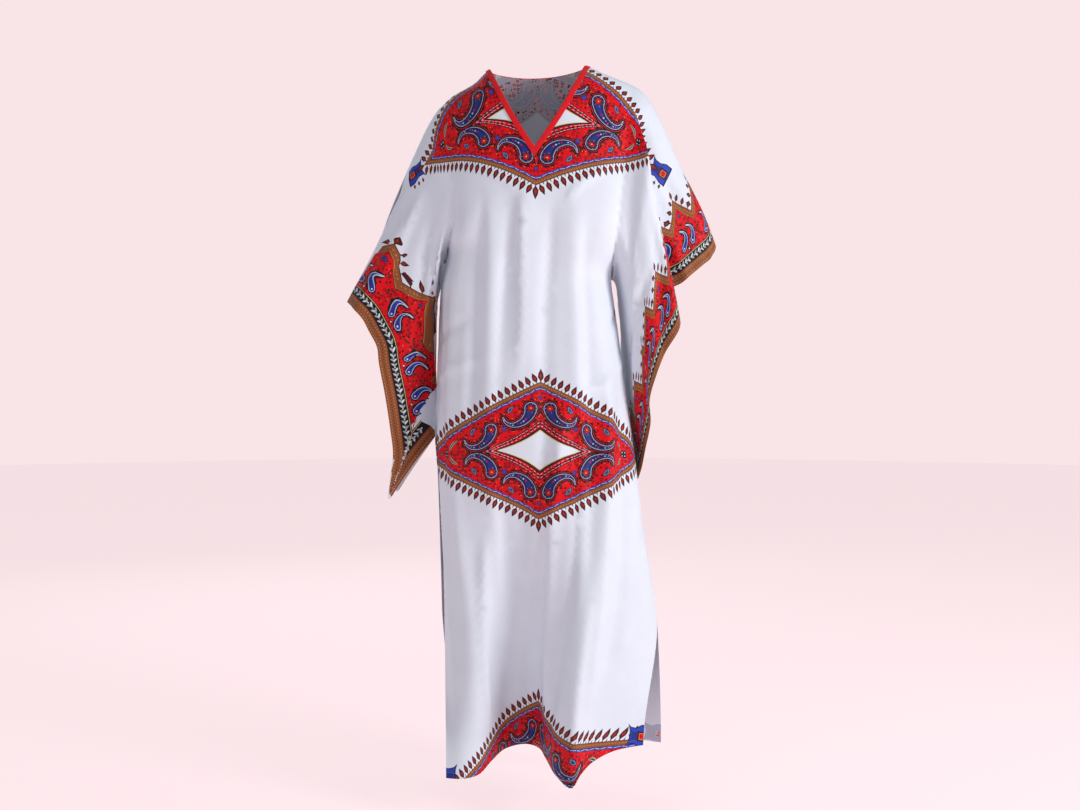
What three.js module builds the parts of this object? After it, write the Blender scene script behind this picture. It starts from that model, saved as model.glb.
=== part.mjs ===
import * as THREE from "three";

// A full-length kaftan with wing sleeves, worn: a front and a back, each cut in one with its half of
// both sleeves, and a bias binding round the V neck. Every piece is a wall of cloth.
// Lengths are millimetres. The front faces -Y, +Z is up, and +X is the wearer's left. The origin is the
// middle of the shoulder line at the neck, where the wearer carries the weight.

// ---- Driving dimensions ----
const WALL = 1.5; // thickness of the cloth
const SEAM_GAP = 0.5; // room left between two pieces at a seam
// feel and turned are shares of the neck's edge: the reach that gives its direction, and the length
// over which the binding turns from the shoulder line to square to that edge.
const BINDING = { width: 11, thickness: 1.6, lift: 0.8, feel: 0.02, turned: 0.4 };
const SHOULDER_ROUND = 120; // how far below the crest the shoulder goes on curving forward
const NECK = { right: -96, left: 100, bottomX: -4, bottomZ: -186, bow: 7, backDrop: 20 };
const ARMHOLE_AT_V = 0.6; // share of the armhole line that lies above the row through the V's point
const SECTION_POWER = 2.3; // 2 is an ellipse, more is squarer
const BACK_FOLD = 0.8; // depth of the fold behind the arm, as a share of the one in front of it

// ---- Grid: rows run across the body and on into the sleeves ----
const HALF_COLUMNS = 10; // from the armhole or side seam to the centre
const SLEEVE_COLUMNS = 9; // from the armhole line to the cuff
const SKIRT_ROWS = 30; // from the armpit to the hem
const FRONT_ARMHOLE_ROWS = [
  { until: 0.12, rows: 3 },
  { until: 0.3, rows: 9 },
  { until: 1, rows: 10 },
];
const BACK_ARMHOLE_ROWS = [
  { until: 0.12, rows: 3 },
  { until: 1, rows: 12 },
];
const BACK_NECK_STEPS = 16;
const STIFF = 0.02; // keeps the inner corner of a sharp fold from running away
const LONGEST_MITRE = 2.5; // the furthest such a corner may lie, in wall thicknesses
const FINE = 48; // points of a curve before it is spaced out evenly
const WALK_STEPS = 24; // steps by which the binding's width is measured along the cloth

// ---- Form of the worn garment ----
// Crest of the shoulders from the wearer's right to the left.
const SHOULDER_LINE = [
  { x: -203, z: -84 },
  { x: -173, z: -57 },
  { x: -127, z: -31 },
  { x: -96, z: -4 },
  { x: 0, z: 16 },
  { x: 100, z: 4 },
  { x: 151, z: -15 },
  { x: 194, z: -31 },
];
// Outer limits of the body: the fold in front of each arm down to the armpit, then the side seam.
// depth is how far the fold lies in front of the shoulder line.
const RIGHT_EDGE = [
  { z: -84, x: -203, depth: 52 },
  { z: -148, x: -185, depth: 60 },
  { z: -212, x: -168, depth: 76 },
  { z: -274, x: -161, depth: 84 },
  { z: -316, x: -163, depth: 82 },
  { z: -352, x: -172, depth: 62 },
  { z: -395, x: -185, depth: 0 },
  { z: -459, x: -197, depth: 0 },
  { z: -538, x: -201, depth: 0 },
  { z: -730, x: -206, depth: 0 },
  { z: -823, x: -200, depth: 0 },
  { z: -1131, x: -189, depth: 0 },
  { z: -1420, x: -188, depth: 0 },
];
const LEFT_EDGE = [
  { z: -31, x: 194, depth: 46 },
  { z: -85, x: 186, depth: 54 },
  { z: -141, x: 181, depth: 66 },
  { z: -264, x: 167, depth: 84 },
  { z: -334, x: 159, depth: 86 },
  { z: -384, x: 154, depth: 64 },
  { z: -430, x: 153, depth: 0 },
  { z: -500, x: 162, depth: 0 },
  { z: -639, x: 180, depth: 0 },
  { z: -791, x: 201, depth: 0 },
  { z: -946, x: 219, depth: 0 },
  { z: -1115, x: 246, depth: 0 },
  { z: -1168, x: 250, depth: 0 },
  { z: -1420, x: 256, depth: 0 },
];
// Depth of the middle of the front and back, and how square-shouldered the section is.
// round is 1 for a flat parabola and 0.5 for a full half round.
const SECTIONS = [
  { z: 20, front: 92, back: 84, round: 1 },
  { z: -100, front: 104, back: 100, round: 1 },
  { z: -200, front: 120, back: 106, round: 0.85 },
  { z: -300, front: 124, back: 100, round: 0.6 },
  { z: -420, front: 120, back: 88, round: 0.44 },
  { z: -600, front: 124, back: 96, round: 0.44 },
  { z: -760, front: 136, back: 114, round: 0.44 },
  { z: -900, front: 136, back: 112, round: 0.44 },
  { z: -1420, front: 126, back: 100, round: 0.46 },
];
// Hems in plan, each from the wearer's right to the left.
const FRONT_HEM = [
  { x: -174, y: -138, z: -1408 },
  { x: -141, y: -142, z: -1404 },
  { x: -112, y: -126, z: -1400 },
  { x: -88, y: -88, z: -1386 },
  { x: -62, y: -50, z: -1376 },
  { x: -24, y: -40, z: -1372 },
  { x: 4, y: -62, z: -1374 },
  { x: 18, y: -104, z: -1382 },
  { x: 38, y: -160, z: -1398 },
  { x: 66, y: -190, z: -1411 },
  { x: 84, y: -172, z: -1392 },
  { x: 106, y: -146, z: -1378 },
  { x: 145, y: -118, z: -1366 },
  { x: 178, y: -102, z: -1362 },
  { x: 211, y: -86, z: -1361 },
];
const BACK_HEM = [
  { x: -180, y: 34, z: -1402 },
  { x: -148, y: 84, z: -1404 },
  { x: -98, y: 118, z: -1406 },
  { x: -52, y: 84, z: -1404 },
  { x: -4, y: 62, z: -1402 },
  { x: 44, y: 108, z: -1404 },
  { x: 96, y: 132, z: -1406 },
  { x: 150, y: 92, z: -1404 },
  { x: 204, y: 84, z: -1402 },
  { x: 262, y: 56, z: -1400 },
];
const HEM_FOLDS_FROM = 0.28; // share of the skirt's height at which the hem's folds begin
const HEM_DIPS_FROM = 0.3; // share of it at which the rows begin to follow the hem's dips
const EDGE_SHARE = 0.35; // share of the half width in which a fold or ridge fades towards the side
const RIDGE_ENDS = 0.2; // share of a ridge's length over which it rises, and dies away
const SLEEVE_CLEAR = 4; // least room between a hanging sleeve and the body
const CLEAR_WITHIN = 30; // height below the armpit over which that room opens
const SLITS_FROM = 0.74; // share of the skirt's height at which the side seams end

// Long soft folds of the body: a ridge of cloth that runs down from the yoke.
const FRONT_RIDGES = [
  { topX: -150, topZ: -215, lowX: -146, lowZ: -900, spread: 22, height: 6 },
  { topX: -93, topZ: -210, lowX: -78, lowZ: -1330, spread: 24, height: 9 },
  { topX: -20, topZ: -220, lowX: -14, lowZ: -640, spread: 22, height: 6 },
  { topX: 72, topZ: -210, lowX: 96, lowZ: -1330, spread: 24, height: 10 },
  { topX: 140, topZ: -250, lowX: 158, lowZ: -1260, spread: 20, height: 7 },
];
const BACK_RIDGES = [
  { topX: -122, topZ: -180, lowX: -118, lowZ: -1330, spread: 26, height: 9 },
  { topX: -34, topZ: -140, lowX: -46, lowZ: -1200, spread: 26, height: 8 },
  { topX: 52, topZ: -150, lowX: 48, lowZ: -1330, spread: 26, height: 10 },
  { topX: 128, topZ: -190, lowX: 140, lowZ: -1200, spread: 24, height: 8 },
];

// Sleeves. over is the crest over the arm, under the seam below it, cuff the hem of the front layer
// from the crest to the under seam. The back layer follows the front one, tucked inside it.
const RIGHT_SLEEVE = {
  over: [
    { x: -203, y: 0, z: -84 },
    { x: -220, y: 0, z: -110 },
    { x: -244, y: 0, z: -158 },
    { x: -291, y: 0, z: -266 },
    { x: -332, y: 0, z: -366 },
    { x: -390, y: 0, z: -477 },
  ],
  under: [
    { x: -185, y: 0, z: -395 },
    { x: -193, y: 0, z: -402 },
    { x: -201, y: 2, z: -422 },
    { x: -205, y: 10, z: -480 },
    { x: -208, y: 18, z: -600 },
    { x: -209, y: 22, z: -752 },
  ],
  cuff: [
    { x: -390, y: 0, z: -477 },
    { x: -374, y: -30, z: -490 },
    { x: -354, y: -45, z: -510 },
    { x: -336, y: -52, z: -542 },
    { x: -320, y: -55, z: -573 },
    { x: -316, y: -56, z: -605 },
    { x: -304, y: -53, z: -670 },
    { x: -295, y: -46, z: -735 },
    { x: -290, y: -38, z: -790 },
    { x: -297, y: -30, z: -840 },
    { x: -301, y: -26, z: -882 },
    { x: -276, y: -23, z: -846 },
    { x: -246, y: -14, z: -802 },
    { x: -209, y: 22, z: -752 },
  ],
  back: { inset: 8, lift: 12, depth: 0.8 },
  tuck: null,
};
const LEFT_SLEEVE = {
  over: [
    { x: 194, y: 0, z: -31 },
    { x: 217, y: 0, z: -45 },
    { x: 245, y: 0, z: -85 },
    { x: 294, y: 0, z: -194 },
    { x: 344, y: 0, z: -296 },
    { x: 369, y: 0, z: -362 },
  ],
  under: [
    { x: 153, y: 0, z: -430 },
    { x: 160, y: 0, z: -437 },
    { x: 166, y: 4, z: -458 },
    { x: 176, y: 30, z: -560 },
    { x: 182, y: 52, z: -680 },
    { x: 192, y: 70, z: -800 },
  ],
  cuff: [
    { x: 369, y: 0, z: -362 },
    { x: 362, y: -22, z: -384 },
    { x: 334, y: -38, z: -408 },
    { x: 296, y: -44, z: -440 },
    { x: 274, y: -47, z: -462 },
    { x: 281, y: -52, z: -503 },
    { x: 284, y: -58, z: -533 },
    { x: 253, y: -62, z: -588 },
    { x: 238, y: -62, z: -628 },
    { x: 225, y: -58, z: -680 },
    { x: 228, y: -54, z: -725 },
    { x: 219, y: -40, z: -780 },
    { x: 213, y: -8, z: -824 },
    { x: 206, y: 36, z: -846 },
    { x: 192, y: 70, z: -800 },
  ],
  back: { inset: 10, lift: 16, depth: 0.8 },
  // A deep fold that runs from the shoulder to the cuff and laps the lower cloth over the upper.
  // Places are shares of the way from the crest to the under seam; lap is in spreads past the fold.
  tuck: {
    atArm: 0.17,
    atCuff: 0.235,
    spread: 0.02,
    inward: 22,
    forward: 30,
    grows: 0.3,
    lap: { from: -1, to: 1.6 },
    fades: { from: 0.35, to: 0.75 },
  },
};

// ---- Small tools ----
const lerp = THREE.MathUtils.lerp;
const clamp = THREE.MathUtils.clamp;
const mix = (a, b, t) => new THREE.Vector3().lerpVectors(a, b, t);

function ease(from, to, value) {
  const t = clamp((value - from) / (to - from), 0, 1);
  return t * t * (3 - 2 * t);
}

// Reads one column of a table as a smooth function of another that never overshoots its rows.
function column(table, key, name) {
  const rows = [...table].sort((a, b) => a[key] - b[key]);
  const at = rows.map((row) => row[key]);
  const value = rows.map((row) => row[name]);
  const slope = at.slice(1).map((next, i) => (value[i + 1] - value[i]) / (next - at[i]));
  const tangent = at.map((_, i) => {
    const before = slope[Math.max(i - 1, 0)];
    const after = slope[Math.min(i, slope.length - 1)];
    return before * after <= 0 ? 0 : (2 * before * after) / (before + after);
  });
  return (where) => {
    const x = clamp(where, at[0], at[at.length - 1]);
    const i = Math.max(at.findIndex((edge) => edge >= x) - 1, 0);
    const width = at[i + 1] - at[i];
    const t = (x - at[i]) / width;
    const u = 1 - t;
    return (
      value[i] * (1 + 2 * t) * u * u +
      tangent[i] * width * t * u * u +
      value[i + 1] * t * t * (3 - 2 * t) -
      tangent[i + 1] * width * t * t * u
    );
  };
}

// A point at a share of the length of a chain of points.
function along(points) {
  const reach = [0];
  for (let i = 1; i < points.length; i++) {
    reach.push(reach[i - 1] + points[i].distanceTo(points[i - 1]));
  }
  const whole = reach[reach.length - 1];
  return (share) => {
    const target = clamp(share, 0, 1) * whole;
    const i = Math.max(reach.findIndex((length) => length >= target) - 1, 0);
    return mix(points[i], points[i + 1], (target - reach[i]) / (reach[i + 1] - reach[i]));
  };
}

const evenly = (points, count) => {
  const at = along(points);
  return Array.from({ length: count + 1 }, (_, i) => at(i / count));
};

// A smooth curve through the rows of a table, read by the share of its length.
function smooth(table) {
  const points = table.map((row) => new THREE.Vector3(row.x, row.y, row.z));
  return along(new THREE.CatmullRomCurve3(points, false, "centripetal").getPoints(FINE * 6));
}

// ---- Form of the body ----
const shoulderZ = column(SHOULDER_LINE, "x", "z");
const section = {
  front: column(SECTIONS, "z", "front"),
  back: column(SECTIONS, "z", "back"),
  round: column(SECTIONS, "z", "round"),
};
const edges = [RIGHT_EDGE, LEFT_EDGE].map((table) => ({
  x: column(table, "z", "x"),
  depth: column(table, "z", "depth"),
  top: table[0].z,
  armpit: table.find((row) => row.depth === 0).z,
}));

const shoulderShare = (drop) => {
  const t = 1 - clamp(drop / SHOULDER_ROUND, 0, 1);
  return Math.sqrt(1 - t * t);
};

function ridgeHeight(ridges, x, z) {
  return ridges.reduce((sum, ridge) => {
    const t = (z - ridge.topZ) / (ridge.lowZ - ridge.topZ);
    if (t <= 0 || t >= 1) return sum;
    const offset = (x - lerp(ridge.topX, ridge.lowX, t)) / ridge.spread;
    const fade = ease(0, RIDGE_ENDS, t) * ease(1, 1 - RIDGE_ENDS, t);
    return sum + ridge.height * fade * Math.exp(-offset * offset);
  }, 0);
}

// How far the body's cloth stands in front of (or behind) the plane of the seams at a place seen from
// the front.
function bodyDepth(face, x, z) {
  const [right, left] = edges.map((edge) => ({ x: edge.x(z), depth: edge.depth(z) }));
  const middle = (left.x + right.x) / 2;
  const across = clamp((x - middle) / ((left.x - right.x) / 2), -1, 1);
  const rim = lerp(right.depth, left.depth, (across + 1) / 2) * (face.isFront ? 1 : BACK_FOLD);
  const crown = Math.pow(1 - Math.pow(Math.abs(across), SECTION_POWER), section.round(z));
  const ridge = ridgeHeight(face.ridges, x, z) * ease(0, EDGE_SHARE, 1 - Math.abs(across));
  const full = rim + (face.centre(z) - rim) * crown + ridge;
  return full * shoulderShare(shoulderZ(x) - z);
}

const FACES = [
  { name: "front", isFront: true, sign: -1, centre: section.front, ridges: FRONT_RIDGES },
  { name: "back", isFront: false, sign: 1, centre: section.back, ridges: BACK_RIDGES },
].map((face) => ({
  ...face,
  hem: smooth(face.isFront ? FRONT_HEM : BACK_HEM),
  armholeRows: face.isFront ? FRONT_ARMHOLE_ROWS : BACK_ARMHOLE_ROWS,
}));

const onBody = (face, x, z) => new THREE.Vector3(x, face.sign * bodyDepth(face, x, z), z);

// The neck's edge from the shoulder to the middle, on one side of one face.
function neckEdge(face, side) {
  const startX = side ? NECK.left : NECK.right;
  const points = [];
  for (let i = 0; i <= FINE; i++) {
    const t = (i / FINE) ** 2; // close together where the cloth turns over the shoulder
    const u = face.isFront ? t : i / FINE;
    const x = lerp(startX, NECK.bottomX, u);
    const bow = Math.sin(Math.PI * u) * NECK.bow * Math.sign(startX);
    const z = face.isFront
      ? lerp(shoulderZ(startX), NECK.bottomZ, t)
      : shoulderZ(x) - NECK.backDrop * Math.sin((Math.PI / 2) * u);
    points.push(onBody(face, face.isFront ? x + bow : x, z));
  }
  return along(points);
}

function armholeEdge(face, side) {
  const edge = edges[side];
  const points = [];
  for (let i = 0; i <= FINE * 2; i++) {
    const z = lerp(edge.top, edge.armpit, (i / (FINE * 2)) ** 2);
    points.push(onBody(face, edge.x(z), z));
  }
  return along(points);
}

for (const face of FACES) {
  face.neck = [0, 1].map((side) => neckEdge(face, side));
  face.armhole = [0, 1].map((side) => armholeEdge(face, side));
}

// One row of one half of the body, from the armhole line or side seam to the neck or centre line.
// level runs from 0 at the shoulder to 1 at the point of the neck, 2 at the armpit and 3 at the hem.
function halfRow(face, side, level, count) {
  const edge = edges[side];
  const skirt = clamp(level - 2, 0, 1);
  const onArmhole = level < 1 ? ARMHOLE_AT_V * level : lerp(ARMHOLE_AT_V, 1, clamp(level - 1, 0, 1));
  const neckEnd = face.neck[side](1);
  const centreZ = lerp(neckEnd.z, (edges[0].armpit + edges[1].armpit) / 2, clamp(level - 1, 0, 1));
  const hemSide = evenly(halfHem(face, side), count);
  const outer = level > 2
    ? { x: 0, z: lerp(edge.armpit, hemSide[0].z, skirt) }
    : face.armhole[side](onArmhole);
  if (level > 2) outer.x = edge.x(outer.z);
  const inner = level < 1
    ? face.neck[side](level)
    : { x: neckEnd.x, z: lerp(centreZ, hemSide[count].z, skirt) };
  const arch = 1 - ease(0, 1, level);
  const fine = [];
  for (let i = 0; i <= FINE; i++) {
    const t = 1 - Math.cos((Math.PI / 2) * (i / FINE));
    const x = lerp(outer.x, inner.x, t);
    const chord = lerp(shoulderZ(edge.x(edge.top)), shoulderZ(face.neck[side](0).x), t);
    const crest = shoulderZ(lerp(edge.x(edge.top), face.neck[side](0).x, t)) - chord;
    const z = lerp(outer.z, inner.z, t) + arch * crest;
    fine.push(onBody(face, x, Math.min(z, shoulderZ(x))));
  }
  return evenly(fine, count).map((point, i) => {
    const inside = ease(0, EDGE_SHARE, i / count);
    const fold = ease(HEM_FOLDS_FROM, 1, skirt);
    const free = ease(SLITS_FROM, 1, skirt);
    const hem = hemSide[i];
    const weight = lerp(free, fold, inside);
    const dip = hem.z - lerp(hemSide[0].z, hemSide[count].z, i / count);
    const z = point.z + dip * ease(HEM_DIPS_FROM, 1, skirt);
    return new THREE.Vector3(lerp(point.x, hem.x, weight), lerp(point.y, hem.y, weight), z);
  });
}

// The hem from one side seam to the line below the neck's point.
function halfHem(face, side) {
  const steps = FINE * 2;
  const whole = Array.from({ length: steps + 1 }, (_, i) => face.hem(side ? 1 - i / steps : i / steps));
  const past = whole.findIndex((p) => (side ? p.x <= NECK.bottomX : p.x >= NECK.bottomX));
  const [a, b] = [whole[past - 1], whole[past]];
  return [...whole.slice(0, past), mix(a, b, (NECK.bottomX - a.x) / (b.x - a.x))];
}

// ---- Form of the sleeves ----
const sleeves = [RIGHT_SLEEVE, LEFT_SLEEVE].map((sleeve, side) => ({
  ...sleeve,
  over: smooth(sleeve.over),
  under: smooth(sleeve.under),
  cuff: smooth(sleeve.cuff),
  out: side ? 1 : -1,
}));

function cuffPoint(face, sleeve, share) {
  const point = sleeve.cuff(share).clone();
  if (face.isFront) return point;
  const inside = Math.sin(Math.PI * share);
  const [start, end] = [sleeve.cuff(0), sleeve.cuff(1)];
  const seamY = lerp(start.y, end.y, share);
  point.x -= sleeve.out * sleeve.back.inset * inside;
  point.z += sleeve.back.lift * inside;
  point.y = seamY + (seamY - point.y) * sleeve.back.depth;
  return point;
}

// Moves a point of a sleeve out of the body's own section, so that the two cloths only come close.
function clearOfBody(face, side, point) {
  const edge = edges[side];
  const below = ease(edge.armpit, edge.armpit - CLEAR_WITHIN, point.z);
  const [right, left] = edges.map((one) => one.x(point.z));
  const depth = Math.min(Math.abs(point.y) / (point.y < 0 ? section.front : section.back)(point.z), 1);
  const share = Math.pow(1 - Math.pow(depth, 1 / section.round(point.z)), 1 / SECTION_POWER);
  const limit = (right + left) / 2 + ((side ? 1 : -1) * (left - right) * share) / 2;
  const room = (point.x - limit) * (side ? 1 : -1);
  const wanted = SLEEVE_CLEAR * below;
  if (room < wanted && below > 0) point.x += (wanted - room) * (side ? 1 : -1);
  return point;
}

// A point of a sleeve's front or back layer: u runs from the armhole to the cuff, v from the crest of
// the arm to the under seam. The patch is blended from its four edges.
function sleevePoint(face, side, u, v) {
  const sleeve = sleeves[side];
  const arm = face.armhole[side];
  const corners = mix(mix(arm(0), sleeve.over(1), u), mix(arm(1), sleeve.under(1), u), v);
  const point = mix(sleeve.over(u), sleeve.under(u), v)
    .add(mix(arm(v), cuffPoint(face, sleeve, v), u))
    .sub(corners);
  if (sleeve.tuck && face.isFront) {
    const { atArm, atCuff, spread, inward, forward, grows, lap, fades } = sleeve.tuck;
    const past = (v - lerp(atArm, atCuff, u)) / spread;
    const grow = ease(0, grows, u);
    point.x -= sleeve.out * inward * grow * Math.exp(-past * past);
    point.y -= forward * grow * ease(lap.from, lap.to, past) * ease(fades.to, fades.from, v);
  }
  return clearOfBody(face, side, point);
}

// ---- Walls of cloth ----
const keyOf = (point) => point.toArray().map((n) => Math.round(n * 100)).join();

// Gathers patches of points into one sheet, sharing the points that patches have in common.
class Sheet {
  constructor(sign) {
    this.sign = sign;
    this.points = [];
    this.seam = [];
    this.faces = [];
    this.known = new Map();
  }

  vertex(point, onSeam) {
    const key = keyOf(point);
    if (!this.known.has(key)) {
      this.known.set(key, this.points.length);
      this.points.push(point.clone());
      this.seam.push(false);
    }
    const index = this.known.get(key);
    this.seam[index] ||= onSeam;
    return index;
  }

  // Adds rows of points; isSeam(row, column) says which lie on a seam with the other face.
  patch(rows, isSeam, flip) {
    const ids = rows.map((row, i) => row.map((point, j) => this.vertex(point, isSeam(i, j))));
    for (let i = 1; i < ids.length; i++) {
      for (let j = 1; j < ids[i].length; j++) {
        const [a, b, c, d] = [ids[i - 1][j - 1], ids[i - 1][j], ids[i][j], ids[i][j - 1]];
        const two = [
          [a, b, c],
          [a, c, d],
        ];
        this.faces.push(...(flip ? two.map(([p, q, r]) => [p, r, q]) : two));
      }
    }
  }

  // The unit normals of the faces round each point.
  around() {
    const near = this.points.map(() => []);
    for (const [a, b, c] of this.faces) {
      const [p, q, r] = [a, b, c].map((index) => this.points[index]);
      const normal = q.clone().sub(p).cross(r.clone().sub(p)).normalize();
      for (const index of [a, b, c]) near[index].push(normal);
    }
    return near;
  }

  // The closed wall: the sheet, its inner face one wall thickness in, and a rim along each free edge.
  // At a seam both sheets step inwards alike, so that their rims stay one gap apart.
  wall(other) {
    const normals = this.around();
    const facing = other.around();
    const outer = this.points.map((point, i) => {
      const shift = this.seam[i] ? (this.sign * SEAM_GAP) / 2 : 0;
      return point.clone().add(new THREE.Vector3(0, shift, 0));
    });
    const inner = outer.map((point, i) => {
      const twin = this.seam[i] ? other.known.get(keyOf(this.points[i])) : undefined;
      const near = twin === undefined ? normals[i] : [...normals[i], ...facing[twin]];
      return point.clone().add(inset(near, this.seam[i]));
    });
    return closed(outer, inner, this.faces);
  }
}

// The step that takes a point one wall thickness behind all the faces round it, or as nearly as it can
// without a long spike. On a seam it stays square to the gap.
function inset(normals, onSeam) {
  const sum = new THREE.Matrix3().set(STIFF, 0, 0, 0, STIFF, 0, 0, 0, STIFF);
  const wanted = new THREE.Vector3();
  const total = sum.elements;
  for (const normal of normals) {
    const n = onSeam ? normal.clone().setY(0).normalize() : normal;
    const [x, y, z] = n.toArray();
    [x * x, x * y, x * z, y * x, y * y, y * z, z * x, z * y, z * z].forEach((part, i) => {
      total[i] += part / normals.length;
    });
    wanted.addScaledVector(n, -WALL / normals.length);
  }
  return wanted.applyMatrix3(sum.invert()).clampLength(0, WALL * LONGEST_MITRE);
}

// Two matching skins, the second facing the other way, joined along the edges that only one face uses.
function closed(outer, inner, faces) {
  const count = outer.length;
  const used = new Map();
  for (const face of faces) {
    face.forEach((a, i) => used.set(`${a},${face[(i + 1) % 3]}`, [a, face[(i + 1) % 3]]));
  }
  const index = [];
  for (const [a, b, c] of faces) index.push(a, b, c, count + a, count + c, count + b);
  for (const [a, b] of used.values()) {
    if (!used.has(`${b},${a}`)) index.push(a, count + a, count + b, a, count + b, b);
  }
  const geometry = new THREE.BufferGeometry();
  const position = [...outer, ...inner].flatMap((point) => point.toArray());
  geometry.setAttribute("position", new THREE.Float32BufferAttribute(position, 3));
  geometry.setIndex(index);
  geometry.computeVertexNormals();
  return geometry;
}

// Shares of the armhole line at which the rows of a face start.
function armholeShares(plan) {
  const shares = [0];
  for (const { until, rows } of plan) {
    const from = shares[shares.length - 1];
    for (let i = 1; i <= rows; i++) shares.push(lerp(from, until, i / rows));
  }
  return shares;
}

const levelOf = (share) =>
  share < ARMHOLE_AT_V ? share / ARMHOLE_AT_V : 1 + (share - ARMHOLE_AT_V) / (1 - ARMHOLE_AT_V);

// Levels of all the rows of a face, with one row exactly through the neck's point.
function rowLevels(face) {
  const shares = armholeShares(face.armholeRows);
  const gap = (share) => Math.abs(share - ARMHOLE_AT_V);
  const atNeck = shares.reduce((best, share) => (gap(share) < gap(best) ? share : best));
  const skirt = Array.from({ length: SKIRT_ROWS }, (_, i) => 2 + (i + 1) / SKIRT_ROWS);
  return [...shares.map((share) => (share === atNeck ? 1 : levelOf(share))), ...skirt];
}

function panel(face) {
  const sheet = new Sheet(face.sign);
  const shares = armholeShares(face.armholeRows);
  const levels = rowLevels(face);
  for (const side of [0, 1]) {
    const flip = (side === 0) === face.isFront;
    const rows = levels.map((level) => halfRow(face, side, level, HALF_COLUMNS));
    const isSideSeam = (i) => levels[i] >= 2 && levels[i] - 2 <= SLITS_FROM;
    sheet.patch(rows, (i, j) => i === 0 || (j === 0 && isSideSeam(i)), flip);
    const last = shares.length - 1;
    const sleeve = shares.map((share, i) =>
      Array.from({ length: SLEEVE_COLUMNS + 1 }, (_, k) =>
        k ? sleevePoint(face, side, k / SLEEVE_COLUMNS, share) : rows[i][0],
      ),
    );
    sheet.patch(sleeve, (i) => i === 0 || i === last, !flip);
  }
  return sheet;
}

// ---- Neck binding ----
// The place on the body at a distance from a point, in a direction seen from the front.
function walk(face, from, direction, distance) {
  const [dx, dz] = direction;
  let here = from;
  let gone = 0;
  for (let i = 1; gone < distance; i++) {
    const x = from.x + (dx * distance * i) / WALK_STEPS;
    const z = Math.min(from.z + (dz * distance * i) / WALK_STEPS, shoulderZ(x));
    const next = onBody(face, x, z);
    gone += next.distanceTo(here);
    here = next;
  }
  return here;
}

// Edge and outer line of the binding on one side of one face, from the shoulder to the middle.
function bindingHalf(face, side) {
  const out = side ? 1 : -1;
  const neck = face.neck[side];
  const start = neck(0);
  const slope = (shoulderZ(start.x + out * BINDING.width) - start.z) / BINDING.width;
  const outward = new THREE.Vector2(out, slope).normalize();
  return bindingLevels(face).map((level) => {
    const edge = neck(level);
    const [before, after] = [neck(level - BINDING.feel), neck(level + BINDING.feel)];
    const across = new THREE.Vector2(before.z - after.z, after.x - before.x).normalize();
    if (across.y > 0) across.negate();
    const isPoint = face.isFront && level === 1;
    const turned = outward.clone().lerp(across, ease(0, BINDING.turned, level));
    const direction = isPoint ? new THREE.Vector2(0, -1) : turned;
    const reach = isPoint ? BINDING.width / Math.abs(across.y) : BINDING.width;
    return { edge, outer: walk(face, edge, direction.normalize().toArray(), reach) };
  });
}

const bindingLevels = (face) =>
  face.isFront
    ? rowLevels(face)
        .filter((level) => level <= 1)
        .flatMap((level, i, all) => (i ? [(level + all[i - 1]) / 2, level] : [level]))
    : Array.from({ length: BACK_NECK_STEPS + 1 }, (_, i) => i / BACK_NECK_STEPS);

// The ring of the binding: a flat band that lies just over the cloth, flush with the neck's edge.
function binding() {
  const [front, back] = FACES.map((face) => [0, 1].map((side) => bindingHalf(face, side)));
  const ring = [
    ...front[0].slice(1).reverse(),
    ...back[0].slice(0, -1),
    ...back[1].slice(1).reverse(),
    ...front[1].slice(0, -1),
  ];
  const count = ring.length;
  const corners = ring.flatMap(({ edge, outer }, i) => {
    const run = ring[(i + 1) % count].edge.clone().sub(ring[(i + count - 1) % count].edge);
    const normal = run.cross(outer.clone().sub(edge)).normalize();
    return [
      edge.clone().addScaledVector(normal, BINDING.lift),
      edge.clone().addScaledVector(normal, BINDING.lift + BINDING.thickness),
      outer.clone().addScaledVector(normal, BINDING.lift + BINDING.thickness),
      outer.clone().addScaledVector(normal, BINDING.lift),
    ];
  });
  const index = [];
  for (let i = 0; i < count; i++) {
    for (let k = 0; k < 4; k++) {
      const [a, b] = [i * 4 + k, i * 4 + ((k + 1) % 4)];
      const [c, d] = [((i + 1) % count) * 4 + ((k + 1) % 4), ((i + 1) % count) * 4 + k];
      index.push(a, c, b, a, d, c);
    }
  }
  const geometry = new THREE.BufferGeometry().setFromPoints(corners).setIndex(index);
  geometry.computeVertexNormals();
  return geometry;
}

// ---- The garment ----
const kaftan = new THREE.Group();

function add(name, geometry, material) {
  const mesh = new THREE.Mesh(geometry, material);
  mesh.name = name;
  kaftan.add(mesh);
}

const cloth = new THREE.MeshStandardMaterial({ color: 0xf2f3f6, roughness: 0.55, metalness: 0 });
const bias = new THREE.MeshStandardMaterial({ color: 0xd81a26, roughness: 0.6, metalness: 0 });

const [front, back] = FACES.map(panel);
add("front", front.wall(back), cloth);
add("back", back.wall(front), cloth);
add("neck_binding", binding(), bias);

export default kaftan;
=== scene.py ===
import math

import bpy
import numpy as np
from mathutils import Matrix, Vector
from mathutils.bvhtree import BVHTree
from mathutils.geometry import delaunay_2d_cdt


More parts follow.
